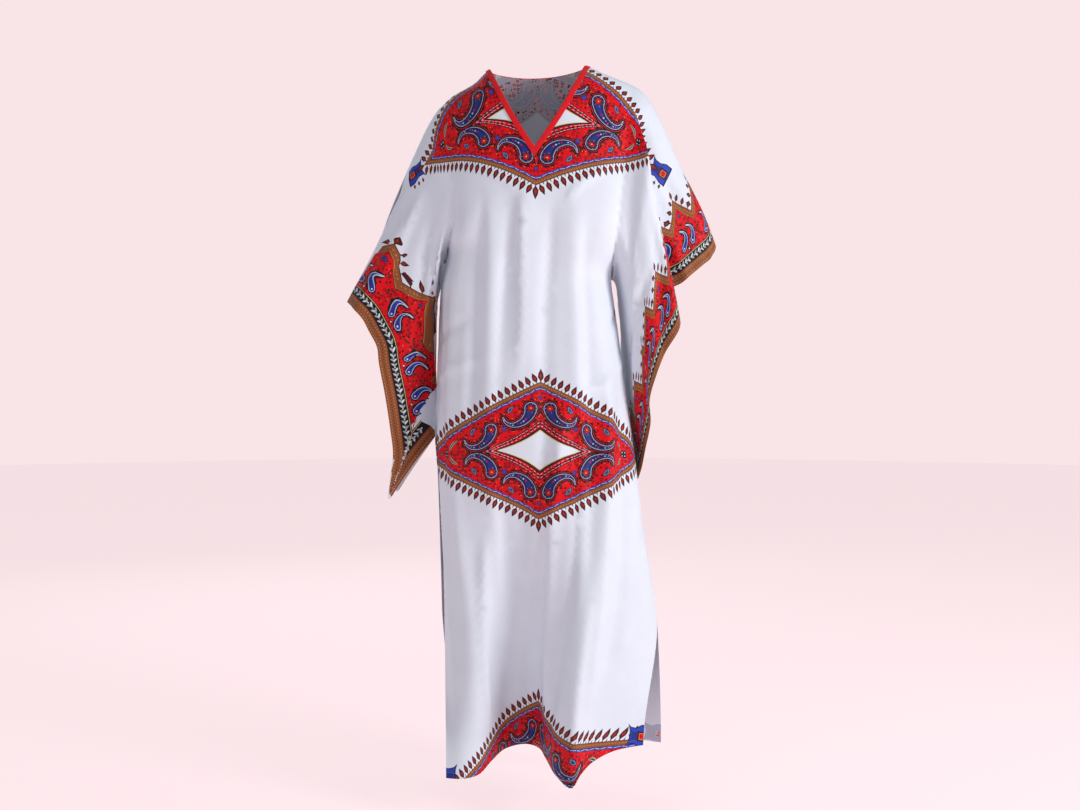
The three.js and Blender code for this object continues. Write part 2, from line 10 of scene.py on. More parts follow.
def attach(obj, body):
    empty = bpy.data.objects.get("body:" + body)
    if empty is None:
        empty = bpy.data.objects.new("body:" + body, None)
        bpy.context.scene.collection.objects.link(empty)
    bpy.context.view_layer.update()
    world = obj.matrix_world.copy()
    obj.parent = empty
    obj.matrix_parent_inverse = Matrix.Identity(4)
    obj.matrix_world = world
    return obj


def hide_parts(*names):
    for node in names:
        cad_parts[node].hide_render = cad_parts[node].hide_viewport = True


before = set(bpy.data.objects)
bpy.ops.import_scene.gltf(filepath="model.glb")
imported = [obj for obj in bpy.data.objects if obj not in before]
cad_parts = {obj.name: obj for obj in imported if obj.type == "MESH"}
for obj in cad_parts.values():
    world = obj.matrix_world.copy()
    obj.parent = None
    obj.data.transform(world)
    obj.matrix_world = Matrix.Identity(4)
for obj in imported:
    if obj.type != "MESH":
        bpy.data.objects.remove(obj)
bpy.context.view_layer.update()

# A full-length kaftan with wing sleeves: a front and a back of printed cloth and a red neck binding.
# The form is worked out in millimetres, from the sizes of its solids, and becomes metres at the end.
# The front faces -Y, +Z is up, and side 0 is the wearer's right (-X), side 1 the wearer's left.
MM = 0.001

# ---- Driving dimensions ----
CLOTH = 0.7  # thickness of the cloth as it shows
BINDING = {"width": 11, "flat": 12.5, "thickness": 1.6, "lift": 0.8, "feel": 0.02, "turned": 0.4}
SHOULDER_ROUND = 120  # how far below the crest the shoulder goes on curving forward
NECK = {"right": -96, "left": 100, "bottom_x": -4, "bottom_z": -186, "bow": 7, "back_drop": 20}
ARMHOLE_AT_V = 0.6  # share of the armhole line that lies above the row through the V's point
SECTION_POWER = 2.3  # 2 is an ellipse, more is squarer
BACK_FOLD = 0.8  # depth of the fold behind the arm, as a share of the one in front of it
HEM_FOLDS_FROM = 0.28  # share of the skirt's height at which the hem's folds begin
HEM_DIPS_FROM = 0.3  # share of it at which the rows begin to follow the hem's dips
EDGE_SHARE = 0.35  # share of the half width in which a fold or ridge fades towards the side
RIDGE_ENDS = 0.2  # share of a ridge's length over which it rises, and dies away
SLITS_FROM = 0.74  # share of the skirt's height at which the side seams end
SLEEVE_CLEAR = 4  # least room between a hanging sleeve and the body
CLEAR_WITHIN = 30  # height below the armpit over which that room opens

# ---- Grids ----
FINE = 96  # points of a curve before it is spaced out evenly
HALF_COLUMNS = 18  # coarse columns of half the body
SLEEVE_COLUMNS = 20  # coarse columns from the armhole to the cuff
ARMHOLE_ROWS = [(0.12, 4), (0.3, 8), (0.6, 8), (1.0, 12)]  # (share of the armhole reached, rows)
SKIRT_ROWS = 56  # coarse rows from the armpit to the hem
REFINE = 3  # fine cells in a coarse one
MESH_STEP = 11.2  # spacing of the plain cloth's mesh
CDT_NEAR = 1e-5  # corners nearer than this are one while the cut is divided
ON_CLOTH = 1e-6  # a place on the cut is nearer to it than this
NEAR = 0.04  # corners on the cut nearer than this become one
TINY = 1e-9  # stands in for a length or an area of nothing
LEAST_LENGTH = 1e-6  # and for the length of an edge while the cut is laid flat


def rows_of(columns, *rows):
    """A table with named columns."""
    names = columns.split()
    return [dict(zip(names, row)) for row in rows]


SHOULDER_LINE = rows_of(
    "x z",
    (-203, -84), (-173, -57), (-127, -31), (-96, -4), (0, 16), (100, 4), (151, -15), (194, -31),
)
RIGHT_EDGE = rows_of(
    "z x depth",
    (-84, -203, 52), (-148, -185, 60), (-212, -168, 76), (-274, -161, 84), (-316, -163, 82),
    (-352, -172, 62), (-395, -185, 0), (-459, -197, 0), (-538, -201, 0), (-730, -206, 0),
    (-823, -200, 0), (-1131, -189, 0), (-1420, -188, 0),
)
LEFT_EDGE = rows_of(
    "z x depth",
    (-31, 194, 46), (-85, 186, 54), (-141, 181, 66), (-264, 167, 84), (-334, 159, 86),
    (-384, 154, 64), (-430, 153, 0), (-500, 162, 0), (-639, 180, 0), (-791, 201, 0),
    (-946, 219, 0), (-1115, 246, 0), (-1168, 250, 0), (-1420, 256, 0),
)
SECTIONS = rows_of(
    "z front back round",
    (20, 92, 84, 1), (-100, 104, 100, 1), (-200, 120, 106, 0.85), (-300, 124, 100, 0.6),
    (-420, 120, 88, 0.44), (-600, 124, 96, 0.44), (-760, 136, 114, 0.44), (-900, 136, 112, 0.44),
    (-1420, 126, 100, 0.46),
)
FRONT_HEM = rows_of(
    "x y z",
    (-174, -138, -1408), (-141, -142, -1404), (-112, -126, -1400), (-88, -88, -1386),
    (-62, -50, -1376), (-24, -40, -1372), (4, -62, -1374), (18, -104, -1382), (38, -160, -1398),
    (66, -190, -1411), (84, -172, -1392), (106, -146, -1378), (145, -118, -1366),
    (178, -102, -1362), (211, -86, -1361),
)
BACK_HEM = rows_of(
    "x y z",
    (-180, 34, -1402), (-148, 84, -1404), (-98, 118, -1406), (-52, 84, -1404), (-4, 62, -1402),
    (44, 108, -1404), (96, 132, -1406), (150, 92, -1404), (204, 84, -1402), (262, 56, -1400),
)
FRONT_RIDGES = rows_of(
    "top_x top_z low_x low_z spread height",
    (-150, -215, -146, -900, 22, 6), (-93, -210, -78, -1330, 24, 9), (-20, -220, -14, -640, 22, 6),
    (72, -210, 96, -1330, 24, 10), (140, -250, 158, -1260, 20, 7),
)
BACK_RIDGES = rows_of(
    "top_x top_z low_x low_z spread height",
    (-122, -180, -118, -1330, 26, 9), (-34, -140, -46, -1200, 26, 8),
    (52, -150, 48, -1330, 26, 10), (128, -190, 140, -1200, 24, 8),
)
RIGHT_SLEEVE = {
    "over": rows_of(
        "x y z",
        (-203, 0, -84), (-220, 0, -110), (-244, 0, -158), (-291, 0, -266), (-332, 0, -366),
        (-390, 0, -477),
    ),
    "under": rows_of(
        "x y z",
        (-185, 0, -395), (-193, 0, -402), (-201, 2, -422), (-205, 10, -480), (-208, 18, -600),
        (-209, 22, -752),
    ),
    "cuff": rows_of(
        "x y z",
        (-390, 0, -477), (-374, -30, -490), (-354, -45, -510), (-336, -52, -542),
        (-320, -55, -573), (-316, -56, -605), (-304, -53, -670), (-295, -46, -735),
        (-290, -38, -790), (-297, -30, -840), (-301, -26, -882), (-276, -23, -846),
        (-246, -14, -802), (-209, 22, -752),
    ),
    "back": {"inset": 8, "lift": 12, "depth": 0.8},
    "tuck": None,
}
LEFT_SLEEVE = {
    "over": rows_of(
        "x y z",
        (194, 0, -31), (217, 0, -45), (245, 0, -85), (294, 0, -194), (344, 0, -296),
        (369, 0, -362),
    ),
    "under": rows_of(
        "x y z",
        (153, 0, -430), (160, 0, -437), (166, 4, -458), (176, 30, -560), (182, 52, -680),
        (192, 70, -800),
    ),
    "cuff": rows_of(
        "x y z",
        (369, 0, -362), (362, -22, -384), (334, -38, -408), (296, -44, -440), (274, -47, -462),
        (281, -52, -503), (284, -58, -533), (253, -62, -588), (238, -62, -628),
        (225, -58, -680), (228, -54, -725), (219, -40, -780), (213, -8, -824), (206, 36, -846),
        (192, 70, -800),
    ),
    "back": {"inset": 10, "lift": 16, "depth": 0.8},
    "tuck": {
        "at_arm": 0.17, "at_cuff": 0.235, "spread": 0.02, "inward": 22, "forward": 30,
        "grows": 0.3, "lap": (-1, 1.6), "fades": (0.35, 0.75),
    },
}


# ---- Small tools ----
def lerp(a, b, t):
    return a + (b - a) * t


def mix(a, b, t):
    """lerp of arrays of points, with one share for each point."""
    return a + (b - a) * np.asarray(t)[..., None]


def ease(start, end, value):
    t = np.clip((value - start) / (end - start), 0, 1)
    return t * t * (3 - 2 * t)


def column(rows, key, name):
    """One column of a table as a smooth function of another that never overshoots its rows."""
    rows = sorted(rows, key=lambda row: row[key])
    at = np.array([row[key] for row in rows], float)
    value = np.array([row[name] for row in rows], float)
    slope = np.diff(value) / np.diff(at)
    before = np.concatenate((slope[:1], slope))
    after = np.concatenate((slope, slope[-1:]))
    product = before * after
    turns = product <= 0
    tangent = np.where(turns, 0, 2 * product / np.where(turns, 1, before + after))

    def read(where):
        x = np.clip(where, at[0], at[-1])
        i = np.clip(np.searchsorted(at, x) - 1, 0, len(at) - 2)
        width = at[i + 1] - at[i]
        t = (x - at[i]) / width
        u = 1 - t
        return (
            value[i] * (1 + 2 * t) * u * u
            + tangent[i] * width * t * u * u
            + value[i + 1] * t * t * (3 - 2 * t)
            - tangent[i + 1] * width * t * t * u
        )

    return read


def reach_of(points):
    """Distance from the first point of a chain to each."""
    steps = np.linalg.norm(np.diff(points, axis=0), axis=1)
    return np.concatenate(([0], np.cumsum(steps)))


def along(points):
    """A chain of points, read by the share of its length."""
    reach = reach_of(points)

    def read(share):
        target = np.clip(share, 0, 1) * reach[-1]
        return np.stack([np.interp(target, reach, line) for line in points.T], axis=-1)

    return read


def smooth(rows):
    """A smooth curve (centripetal Catmull-Rom) through a table, read by the share of its length."""
    known = np.array([[row["x"], row["y"], row["z"]] for row in rows], float)
    known = np.concatenate(([2 * known[0] - known[1]], known, [2 * known[-1] - known[-2]]))
    pieces = len(known) - 3
    line = []
    for step in np.linspace(0, pieces, FINE * 3 + 1):
        i = min(int(step), pieces - 1)
        t = step - i
        a, b, c, d = known[i : i + 4]
        ab, bc, cd = (math.sqrt(np.linalg.norm(q - p)) for p, q in ((a, b), (b, c), (c, d)))
        start = ((b - a) / ab - (c - a) / (ab + bc) + (c - b) / bc) * bc
        end = ((c - b) / bc - (d - b) / (bc + cd) + (d - c) / cd) * bc
        square = -3 * b + 3 * c - 2 * start - end
        cube = 2 * b - 2 * c + start + end
        line.append(b + start * t + square * t * t + cube * t**3)
    return along(np.array(line))


def twice_area(flat, triangles):
    """Twice the signed area of each triangle of a flat map."""
    a, b, c = (flat[triangles[:, k]] for k in range(3))
    return (b - a)[:, 0] * (c - a)[:, 1] - (b - a)[:, 1] * (c - a)[:, 0]


def twice_inside(outline):
    """Twice the signed area inside a closed outline."""
    x, z = outline.T
    return (x * np.roll(z, -1) - z * np.roll(x, -1)).sum()


def aside(way):
    """The direction a quarter turn to the left of a flat one."""
    return np.array([-way[1], way[0]])


# ---- Form of the body ----
shoulder_z = column(SHOULDER_LINE, "x", "z")
section_round = column(SECTIONS, "z", "round")
section_front = column(SECTIONS, "z", "front")
section_back = column(SECTIONS, "z", "back")


class Edge:
    """The outer limit of the body on one side."""

    def __init__(self, rows):
        self.x = column(rows, "z", "x")
        self.depth = column(rows, "z", "depth")
        self.top = rows[0]["z"]
        self.armpit = next(row["z"] for row in rows if row["depth"] == 0)


EDGES = [Edge(RIGHT_EDGE), Edge(LEFT_EDGE)]


class Face:
    """The front or the back of the garment."""

    def __init__(self, name, sign, centre, ridges, hem):
        self.name = name
        self.sign = sign
        self.is_front = sign < 0
        self.centre = centre
        self.ridges = ridges
        self.hem = smooth(hem)
        self.neck = [self.neck_edge(side) for side in (0, 1)]
        self.armhole = [self.armhole_edge(side) for side in (0, 1)]

    def ridge_height(self, x, z):
        total = np.zeros(np.broadcast(x, z).shape)
        for ridge in self.ridges:
            t = (z - ridge["top_z"]) / (ridge["low_z"] - ridge["top_z"])
            offset = (x - lerp(ridge["top_x"], ridge["low_x"], t)) / ridge["spread"]
            fade = ease(0, RIDGE_ENDS, t) * ease(1, 1 - RIDGE_ENDS, t)
            total = total + ridge["height"] * fade * np.exp(-offset * offset)
        return total

    def depth(self, x, z):
        right, left = EDGES[0].x(z), EDGES[1].x(z)
        across = np.clip((x - (left + right) / 2) / ((left - right) / 2), -1, 1)
        rim = lerp(EDGES[0].depth(z), EDGES[1].depth(z), (across + 1) / 2)
        rim = rim * (1 if self.is_front else BACK_FOLD)
        crown = (1 - np.abs(across) ** SECTION_POWER) ** section_round(z)
        ridge = self.ridge_height(x, z) * ease(0, EDGE_SHARE, 1 - np.abs(across))
        full = rim + (self.centre(z) - rim) * crown + ridge
        t = 1 - np.clip((shoulder_z(x) - z) / SHOULDER_ROUND, 0, 1)
        return full * np.sqrt(1 - t * t)

    def on_body(self, x, z):
        x, z = np.broadcast_arrays(np.asarray(x, float), np.asarray(z, float))
        return np.stack((x, self.sign * self.depth(x, z), z), axis=-1)

    def neck_edge(self, side):
        start = NECK["left"] if side else NECK["right"]
        share = np.linspace(0, 1, FINE + 1)
        if self.is_front:
            t = share**2
            bow = np.sin(math.pi * t) * NECK["bow"] * np.sign(start)
            x = lerp(start, NECK["bottom_x"], t)
            points = self.on_body(x + bow, lerp(shoulder_z(start), NECK["bottom_z"], t))
        else:
            x = lerp(start, NECK["bottom_x"], share)
            drop = NECK["back_drop"] * np.sin(math.pi / 2 * share)
            points = self.on_body(x, shoulder_z(x) - drop)
        return along(points)

    def armhole_edge(self, side):
        edge = EDGES[side]
        z = lerp(edge.top, edge.armpit, np.linspace(0, 1, FINE * 2 + 1) ** 2)
        return along(self.on_body(edge.x(z), z))

    def half_hem(self, side, count):
        steps = np.linspace(0, 1, FINE * 2 + 1)
        whole = self.hem(1 - steps if side else steps)
        past = whole[:, 0] <= NECK["bottom_x"] if side else whole[:, 0] >= NECK["bottom_x"]
        i = int(np.argmax(past))
        a, b = whole[i - 1], whole[i]
        middle = lerp(a, b, (NECK["bottom_x"] - a[0]) / (b[0] - a[0]))
        return along(np.concatenate((whole[:i], [middle])))(np.linspace(0, 1, count + 1))

    def half_row(self, side, level, count):
        """A row of half the body. level is 0 at the shoulder, 1 at the neck's point, 2 at the armpit
        and 3 at the hem."""
        edge = EDGES[side]
        skirt = min(max(level - 2, 0), 1)
        lower = min(max(level - 1, 0), 1)
        hem = self.half_hem(side, count)
        neck_end = self.neck[side](1)
        if level > 2:
            z = lerp(edge.armpit, hem[0][2], skirt)
            outer = (edge.x(z), z)
        else:
            share = ARMHOLE_AT_V * level if level < 1 else lerp(ARMHOLE_AT_V, 1, lower)
            outer = self.armhole[side](share)[[0, 2]]
        if level < 1:
            inner = self.neck[side](level)[[0, 2]]
        else:
            centre = lerp(neck_end[2], (EDGES[0].armpit + EDGES[1].armpit) / 2, lower)
            inner = (neck_end[0], lerp(centre, hem[count][2], skirt))
        t = 1 - np.cos(math.pi / 2 * np.linspace(0, 1, FINE + 1))
        x = lerp(outer[0], inner[0], t)
        outer_x, neck_x = edge.x(edge.top), self.neck[side](0)[0]
        chord = lerp(shoulder_z(outer_x), shoulder_z(neck_x), t)
        crest = shoulder_z(lerp(outer_x, neck_x, t)) - chord
        z = lerp(outer[1], inner[1], t) + (1 - ease(0, 1, level)) * crest
        share = np.linspace(0, 1, count + 1)
        row = along(self.on_body(x, np.minimum(z, shoulder_z(x))))(share)
        inside = ease(0, EDGE_SHARE, share)
        free = ease(SLITS_FROM, 1, skirt)
        weight = lerp(free, ease(HEM_FOLDS_FROM, 1, skirt), inside)
        dip = hem[:, 2] - lerp(hem[0][2], hem[count][2], share)
        row[:, :2] = mix(row[:, :2], hem[:, :2], weight)
        row[:, 2] += dip * ease(HEM_DIPS_FROM, 1, skirt)
        return row


FACES = [
    Face("front", -1, section_front, FRONT_RIDGES, FRONT_HEM),
    Face("back", 1, section_back, BACK_RIDGES, BACK_HEM),
]


# ---- Form of the sleeves ----
SLEEVES = [
    {**sleeve, **{name: smooth(sleeve[name]) for name in ("over", "under", "cuff")}, "out": out}
    for sleeve, out in ((RIGHT_SLEEVE, -1), (LEFT_SLEEVE, 1))
]


def cuff_points(face, sleeve, share):
    """The cuff's edge. The back layer lies behind the front one, a little in and up from it."""
    points = sleeve["cuff"](share)
    if face.is_front:
        return points
    inside = np.sin(math.pi * share)
    seam_y = lerp(sleeve["cuff"](0.0)[1], sleeve["cuff"](1.0)[1], share)
    points[..., 0] -= sleeve["out"] * sleeve["back"]["inset"] * inside
    points[..., 2] += sleeve["back"]["lift"] * inside
    points[..., 1] = seam_y + (seam_y - points[..., 1]) * sleeve["back"]["depth"]
    return points


def clear_of_body(side, points):
    """Moves a sleeve's points out of the body's section, so that the two cloths only come close."""
    out = 1 if side else -1
    x, y, z = points[..., 0], points[..., 1], points[..., 2]
    armpit = EDGES[side].armpit
    below = ease(armpit, armpit - CLEAR_WITHIN, z)
    right, left = EDGES[0].x(z), EDGES[1].x(z)
    depth = np.minimum(np.abs(y) / np.where(y < 0, section_front(z), section_back(z)), 1)
    share = (1 - depth ** (1 / section_round(z))) ** (1 / SECTION_POWER)
    room = (x - (right + left) / 2) * out - (left - right) * share / 2
    wanted = SLEEVE_CLEAR * below
    points[..., 0] += np.where((room < wanted) & (below > 0), (wanted - room) * out, 0)
    return points


def sleeve_points(face, side, u, v):
    """u runs from the armhole to the cuff, v from the crest of the arm to the under seam."""
    sleeve = SLEEVES[side]
    arm, over, under = face.armhole[side], sleeve["over"], sleeve["under"]
    corners = mix(mix(arm(0.0), over(1.0), u), mix(arm(1.0), under(1.0), u), v)
    points = mix(over(u), under(u), v) + mix(arm(v), cuff_points(face, sleeve, v), u) - corners
    if sleeve["tuck"] and face.is_front:
        tuck = sleeve["tuck"]
        past = (v - lerp(tuck["at_arm"], tuck["at_cuff"], u)) / tuck["spread"]
        grow = ease(0, tuck["grows"], u)
        lap = ease(*tuck["lap"], past) * (1 - ease(*tuck["fades"], v))
        points[..., 0] -= sleeve["out"] * tuck["inward"] * grow * np.exp(-past * past)
        points[..., 1] -= tuck["forward"] * grow * lap
    return clear_of_body(side, points)


# ---- Grids of one face: half the body and a sleeve on each side ----
def armhole_shares(refine):
    """Shares of the armhole line at the rows of the grid."""
    shares = [0.0]
    for until, rows in ARMHOLE_ROWS:
        shares += list(np.linspace(shares[-1], until, rows * refine + 1)[1:])
    return np.array(shares)


def face_patches(face, refine):
    """Four grids of points: body and sleeve of side 0, then of side 1."""
    shares = armhole_shares(refine)
    upper = np.where(
        shares <= ARMHOLE_AT_V,
        shares / ARMHOLE_AT_V,
        1 + (shares - ARMHOLE_AT_V) / (1 - ARMHOLE_AT_V),
    )
    levels = np.concatenate((upper, 2 + np.linspace(0, 1, SKIRT_ROWS * refine + 1)[1:]))
    u = np.linspace(0, 1, SLEEVE_COLUMNS * refine + 1)
    patches = []
    for side in (0, 1):
        body = np.array([face.half_row(side, level, HALF_COLUMNS * refine) for level in levels])
        across, down = np.meshgrid(u, shares)
        sleeve = sleeve_points(face, side, across, down)
        sleeve[:, 0] = body[: len(shares), 0]
        patches += [body, sleeve]
    return patches


def joined(patches):
    """The points that the patches have in common become one: ids of each patch, and the points."""
    every = np.concatenate([patch.reshape(-1, 3) for patch in patches])
    _, first, back = np.unique(np.round(every, 2), axis=0, return_index=True, return_inverse=True)
    back = back.reshape(-1)
    ids, start = [], 0
    for patch in patches:
        count = patch.shape[0] * patch.shape[1]
        ids.append(back[start : start + count].reshape(patch.shape[:2]))
        start += count
    return ids, every[first]


def quads_of(ids):
    """The cells of a grid."""
    a, b, c, d = ids[:-1, :-1], ids[:-1, 1:], ids[1:, 1:], ids[1:, :-1]
    return np.stack((a, b, c, d), axis=-1).reshape(-1, 4)


def triangles_of(ids):
    """The cells of a grid in halves, without those that vanish."""
    quads = quads_of(ids)
    split = np.concatenate((quads[:, [0, 1, 2]], quads[:, [0, 2, 3]]))
    a, b, c = split.T
    return split[(a != b) & (b != c) & (c != a)]


def gathered(i, j, at_i, at_j, count):
    """At each point, the sum of what its edges bring: edge n joins i[n] and j[n]."""
    return np.stack(
        [np.bincount(i, at_i[:, k], count) + np.bincount(j, at_j[:, k], count) for k in (0, 1)],
        axis=-1,
    )


FLATTEN_STEPS = 900
MOMENTUM = 0.9  # share of a step that the next one keeps
SLEEVE_SLOPES = (math.radians(12), math.radians(58))  # first guess: crest, under seam
UNTANGLE_STEPS = 200
LEAST_AREA = 0.12  # a cell flatter than this share of its worn area is evened out


def untangle(flat, points, ids, i, j, used):
    """Evens out the places where the flat cut still folds over itself."""
    corners = [triangles_of(one) for one in ids]
    worn = []
    for triangles in corners:
        a, b, c = (points[triangles[:, k]] for k in range(3))
        worn.append(np.linalg.norm(np.cross(b - a, c - a), axis=1))
    for _ in range(UNTANGLE_STEPS):
        wrong = np.zeros(len(flat), bool)
        for triangles, whole in zip(corners, worn):
            area = twice_area(flat, triangles)
            area = area * np.sign(np.median(area))
            wrong[triangles[area < LEAST_AREA * whole]] = True
        if not wrong.any():
            break
        total = gathered(i, j, flat[j], flat[i], len(flat))
        flat[wrong] = lerp(flat, total / used[:, None], 0.5)[wrong]


def flatten(patches, ids, points):
    """Lays the coarse grid out flat as the cut cloth, by evening out the lengths of its edges."""
    flat = np.zeros((len(points), 2))
    for side in (0, 1):
        out = 1 if side else -1
        body, sleeve = patches[2 * side], patches[2 * side + 1]
        run = np.array([reach_of(row) for row in body])
        middle = body[:, -1, 0]
        x = middle[:, None] + out * (run[:, -1:] - run)
        down = np.array([reach_of(line) for line in body.transpose(1, 0, 2)]).T
        z = body[0, :, 2][None] - down
        flat[ids[2 * side]] = np.stack((x, z), axis=-1)
        run = np.array([reach_of(row) for row in sleeve])
        arm = np.stack((x[: len(sleeve), 0], z[: len(sleeve), 0]), axis=-1)
        slope = lerp(*SLEEVE_SLOPES, armhole_shares(1))
        way = np.stack((out * np.cos(slope), -np.sin(slope)), axis=-1)
        flat[ids[2 * side + 1]] = arm[:, None] + run[..., None] * way[:, None]
    quads = np.concatenate([quads_of(one) for one in ids])
    pairs = np.concatenate([quads[:, p] for p in ((0, 1), (1, 2), (2, 3), (3, 0), (0, 2), (1, 3))])
    pairs = np.unique(np.sort(pairs, axis=1), axis=0)
    i, j = pairs[pairs[:, 0] != pairs[:, 1]].T
    length = np.linalg.norm(points[i] - points[j], axis=1)
    count = len(points)
    used = np.bincount(i, minlength=count) + np.bincount(j, minlength=count)
    step = np.zeros_like(flat)
    for _ in range(FLATTEN_STEPS):
        apart = flat[j] - flat[i]
        now = np.maximum(np.linalg.norm(apart, axis=1), LEAST_LENGTH)
        pull = apart * (0.5 * (now - length) / now)[:, None]
        total = gathered(i, j, pull, -pull, count)
        step = MOMENTUM * step + total / used[:, None]
        flat += step
    untangle(flat, points, ids, i, j, used)
    low = ids[0][-1, -1]
    top = ids[0][len(armhole_shares(1)) - 1, -1]
    way = flat[top] - flat[low]
    way /= np.linalg.norm(way)
    turn = np.array([[way[1], -way[0]], [way[0], way[1]]])
    flat = flat @ turn.T
    shoulder = (flat[ids[0][0, -1]] + flat[ids[2][0, -1]]) / 2
    flat -= [flat[low][0], shoulder[1]]
    return flat


def finer(values, refine):
    """A grid of values with smooth (Catmull-Rom) values put in between, along both directions."""
    for axis in (0, 1):
        lines = np.moveaxis(values, axis, 0)
        padded = np.concatenate(([2 * lines[0] - lines[1]], lines, [2 * lines[-1] - lines[-2]]))
        at = np.arange((len(lines) - 1) * refine + 1) / refine
        i = np.minimum(at.astype(int), len(lines) - 2)
        t = (at - i).reshape([-1] + [1] * (lines.ndim - 1))
        a, b, c, d = (padded[i + k] for k in range(4))
        made = b + 0.5 * t * (c - a + t * (2 * a - 5 * b + 4 * c - d + t * (3 * (b - c) + d - a)))
        values = np.moveaxis(made, 0, axis)
    return values


# ---- Creases of the cloth, from one place on its flat cut to another ----
# width is the half width of a crease, and height is above 0 for a ridge and below 0 for a trough.
FRONT_CREASES = rows_of(
    "x0 z0 x1 z1 width height",
    (-170, -330, -150, -1180, 16, 3.2), (-118, -300, -122, -820, 12, -2.4),
    (-64, -290, -44, -1230, 15, -3.0), (-30, -300, -26, -700, 10, 2.2),
    (30, -300, 34, -980, 14, -2.6), (56, -700, 46, -1420, 15, 5.0),
    (84, -660, 84, -1420, 15, -4.2), (112, -330, 130, -1180, 13, -3.0),
    (150, -620, 176, -1400, 12, 3.4), (196, -640, 214, -1330, 14, -2.8),
    (-200, -700, -196, -1400, 15, 2.8), (-236, -460, -228, -1100, 13, -2.2),
    (10, -860, -30, -1420, 20, 3.4), (-96, -980, -118, -1430, 12, 4.0),
    (-260, -640, -120, -560, 11, -1.8), (-250, -700, -90, -655, 9, 1.6),
    (262, -520, 160, -600, 10, -1.8), (240, -640, 90, -720, 9, 1.4),
    (-150, -250, -40, -330, 9, 1.6), (150, -250, 60, -340, 9, 1.6),
)
BACK_CREASES = rows_of(
    "x0 z0 x1 z1 width height",
    (-150, -260, -158, -1100, 15, 3.4), (-98, -240, -84, -760, 12, -2.8),
    (-60, -300, -72, -1240, 14, -3.2), (-8, -260, -4, -1360, 13, 3.6),
    (26, -300, 20, -900, 11, -2.6), (88, -240, 96, -1360, 14, -3.4),
    (122, -300, 118, -700, 10, 2.6), (168, -340, 182, -1200, 14, 3.2),
    (210, -600, 226, -1330, 13, -3.0), (-214, -560, -206, -1380, 14, -3.0),
    (-248, -700, -240, -1260, 12, 2.6), (60, -800, 66, -1420, 12, 4.2),
    (-120, -900, -126, -1430, 13, -3.8), (-230, -420, -110, -520, 10, 1.8),
    (240, -430, 120, -540, 10, 1.8),
)
SLEEVE_CREASES = rows_of(
    "x0 z0 x1 z1 width height",
    (270, -170, 610, -330, 13, -3.0), (260, -230, 600, -470, 15, 3.4),
    (250, -300, 560, -640, 12, -3.0), (240, -350, 480, -700, 11, 2.6),
    (330, -260, 520, -400, 9, 2.0), (300, -380, 400, -620, 9, -2.2),
)


# How a crease runs: all heights are times depth, its line sways by a share of its width, in waves
# along its length, and it grows and fades over shares of that length.
CREASE = {"depth": 2.3, "sway": 0.5, "waves": 5, "grown": 0.22, "fading": 0.8}


def crease_height(face, flat):
    """Height of all the creases at places on the flat cut."""
    creases = FRONT_CREASES if face.is_front else BACK_CREASES
    both = [dict(row, x0=-row["x0"], x1=-row["x1"]) for row in SLEEVE_CREASES]
    total = np.zeros(len(flat))
    for row in creases + SLEEVE_CREASES + both:
        start = np.array([row["x0"], row["z0"]], float)
        way = np.array([row["x1"], row["z1"]], float) - start
        length = np.linalg.norm(way)
        way /= length
        run = (flat - start) @ way / length
        off = (flat - start) @ aside(way) / row["width"]
        off = off + CREASE["sway"] * np.sin(run * CREASE["waves"] + row["x0"])
        fade = ease(0, CREASE["grown"], run) * ease(1, CREASE["fading"], run)
        total += row["height"] * fade * np.exp(-off * off)
    return total * CREASE["depth"]


def normals_of(points, triangles):
    """Smooth normals, from the triangles round each point."""
    a, b, c = (points[triangles[:, k]] for k in range(3))
    across = np.cross(b - a, c - a)
    total = np.zeros_like(points)
    for k in range(3):
        for axis in range(3):
            total[:, axis] += np.bincount(triangles[:, k], across[:, axis], len(points))
    return total / np.maximum(np.linalg.norm(total, axis=1), TINY)[:, None]


FAR_OUT = 6.0  # a place further off a map than this is read at the map's edge
WEIGHTS = (-2, 3)  # least and most share of a corner in what is read


class Chart:
    """A flat map of a grid: finds places on it, and reads there what the grid carries."""

    def __init__(self, flat, triangles):
        self.flat = flat
        self.triangles = triangles
        corners = [(x, y, 0.0) for x, y in flat.tolist()]
        self.tree = BVHTree.FromPolygons(corners, triangles.tolist())

    def find(self, places):
        """Triangle, weights and distance of the nearest spot of the map to each place."""
        found = [self.tree.find_nearest((x, y, 0.0)) for x, y in np.asarray(places).tolist()]
        face = np.array([hit[2] for hit in found])
        near = np.array([hit[3] for hit in found]) < FAR_OUT
        spot = np.where(near[:, None], np.asarray(places, float), [hit[0][:2] for hit in found])
        corner = self.triangles[face]
        a, b, c = (self.flat[corner[:, k]] for k in range(3))
        ab, ac, at = b - a, c - a, spot - a
        area = ab[:, 0] * ac[:, 1] - ab[:, 1] * ac[:, 0]
        area = np.where(np.abs(area) < TINY, TINY, area)
        second = (at[:, 0] * ac[:, 1] - at[:, 1] * ac[:, 0]) / area
        third = (ab[:, 0] * at[:, 1] - ab[:, 1] * at[:, 0]) / area
        weights = np.clip(np.stack((1 - second - third, second, third), axis=-1), *WEIGHTS)
        weights /= weights.sum(axis=1)[:, None]
        return corner, weights, np.array([hit[3] for hit in found])

    def carry(self, places, values):
        """The values of the map's corners, read at places on it."""
        corner, weights, _ = self.find(places)
        return (values[corner] * weights[..., None]).sum(axis=1)


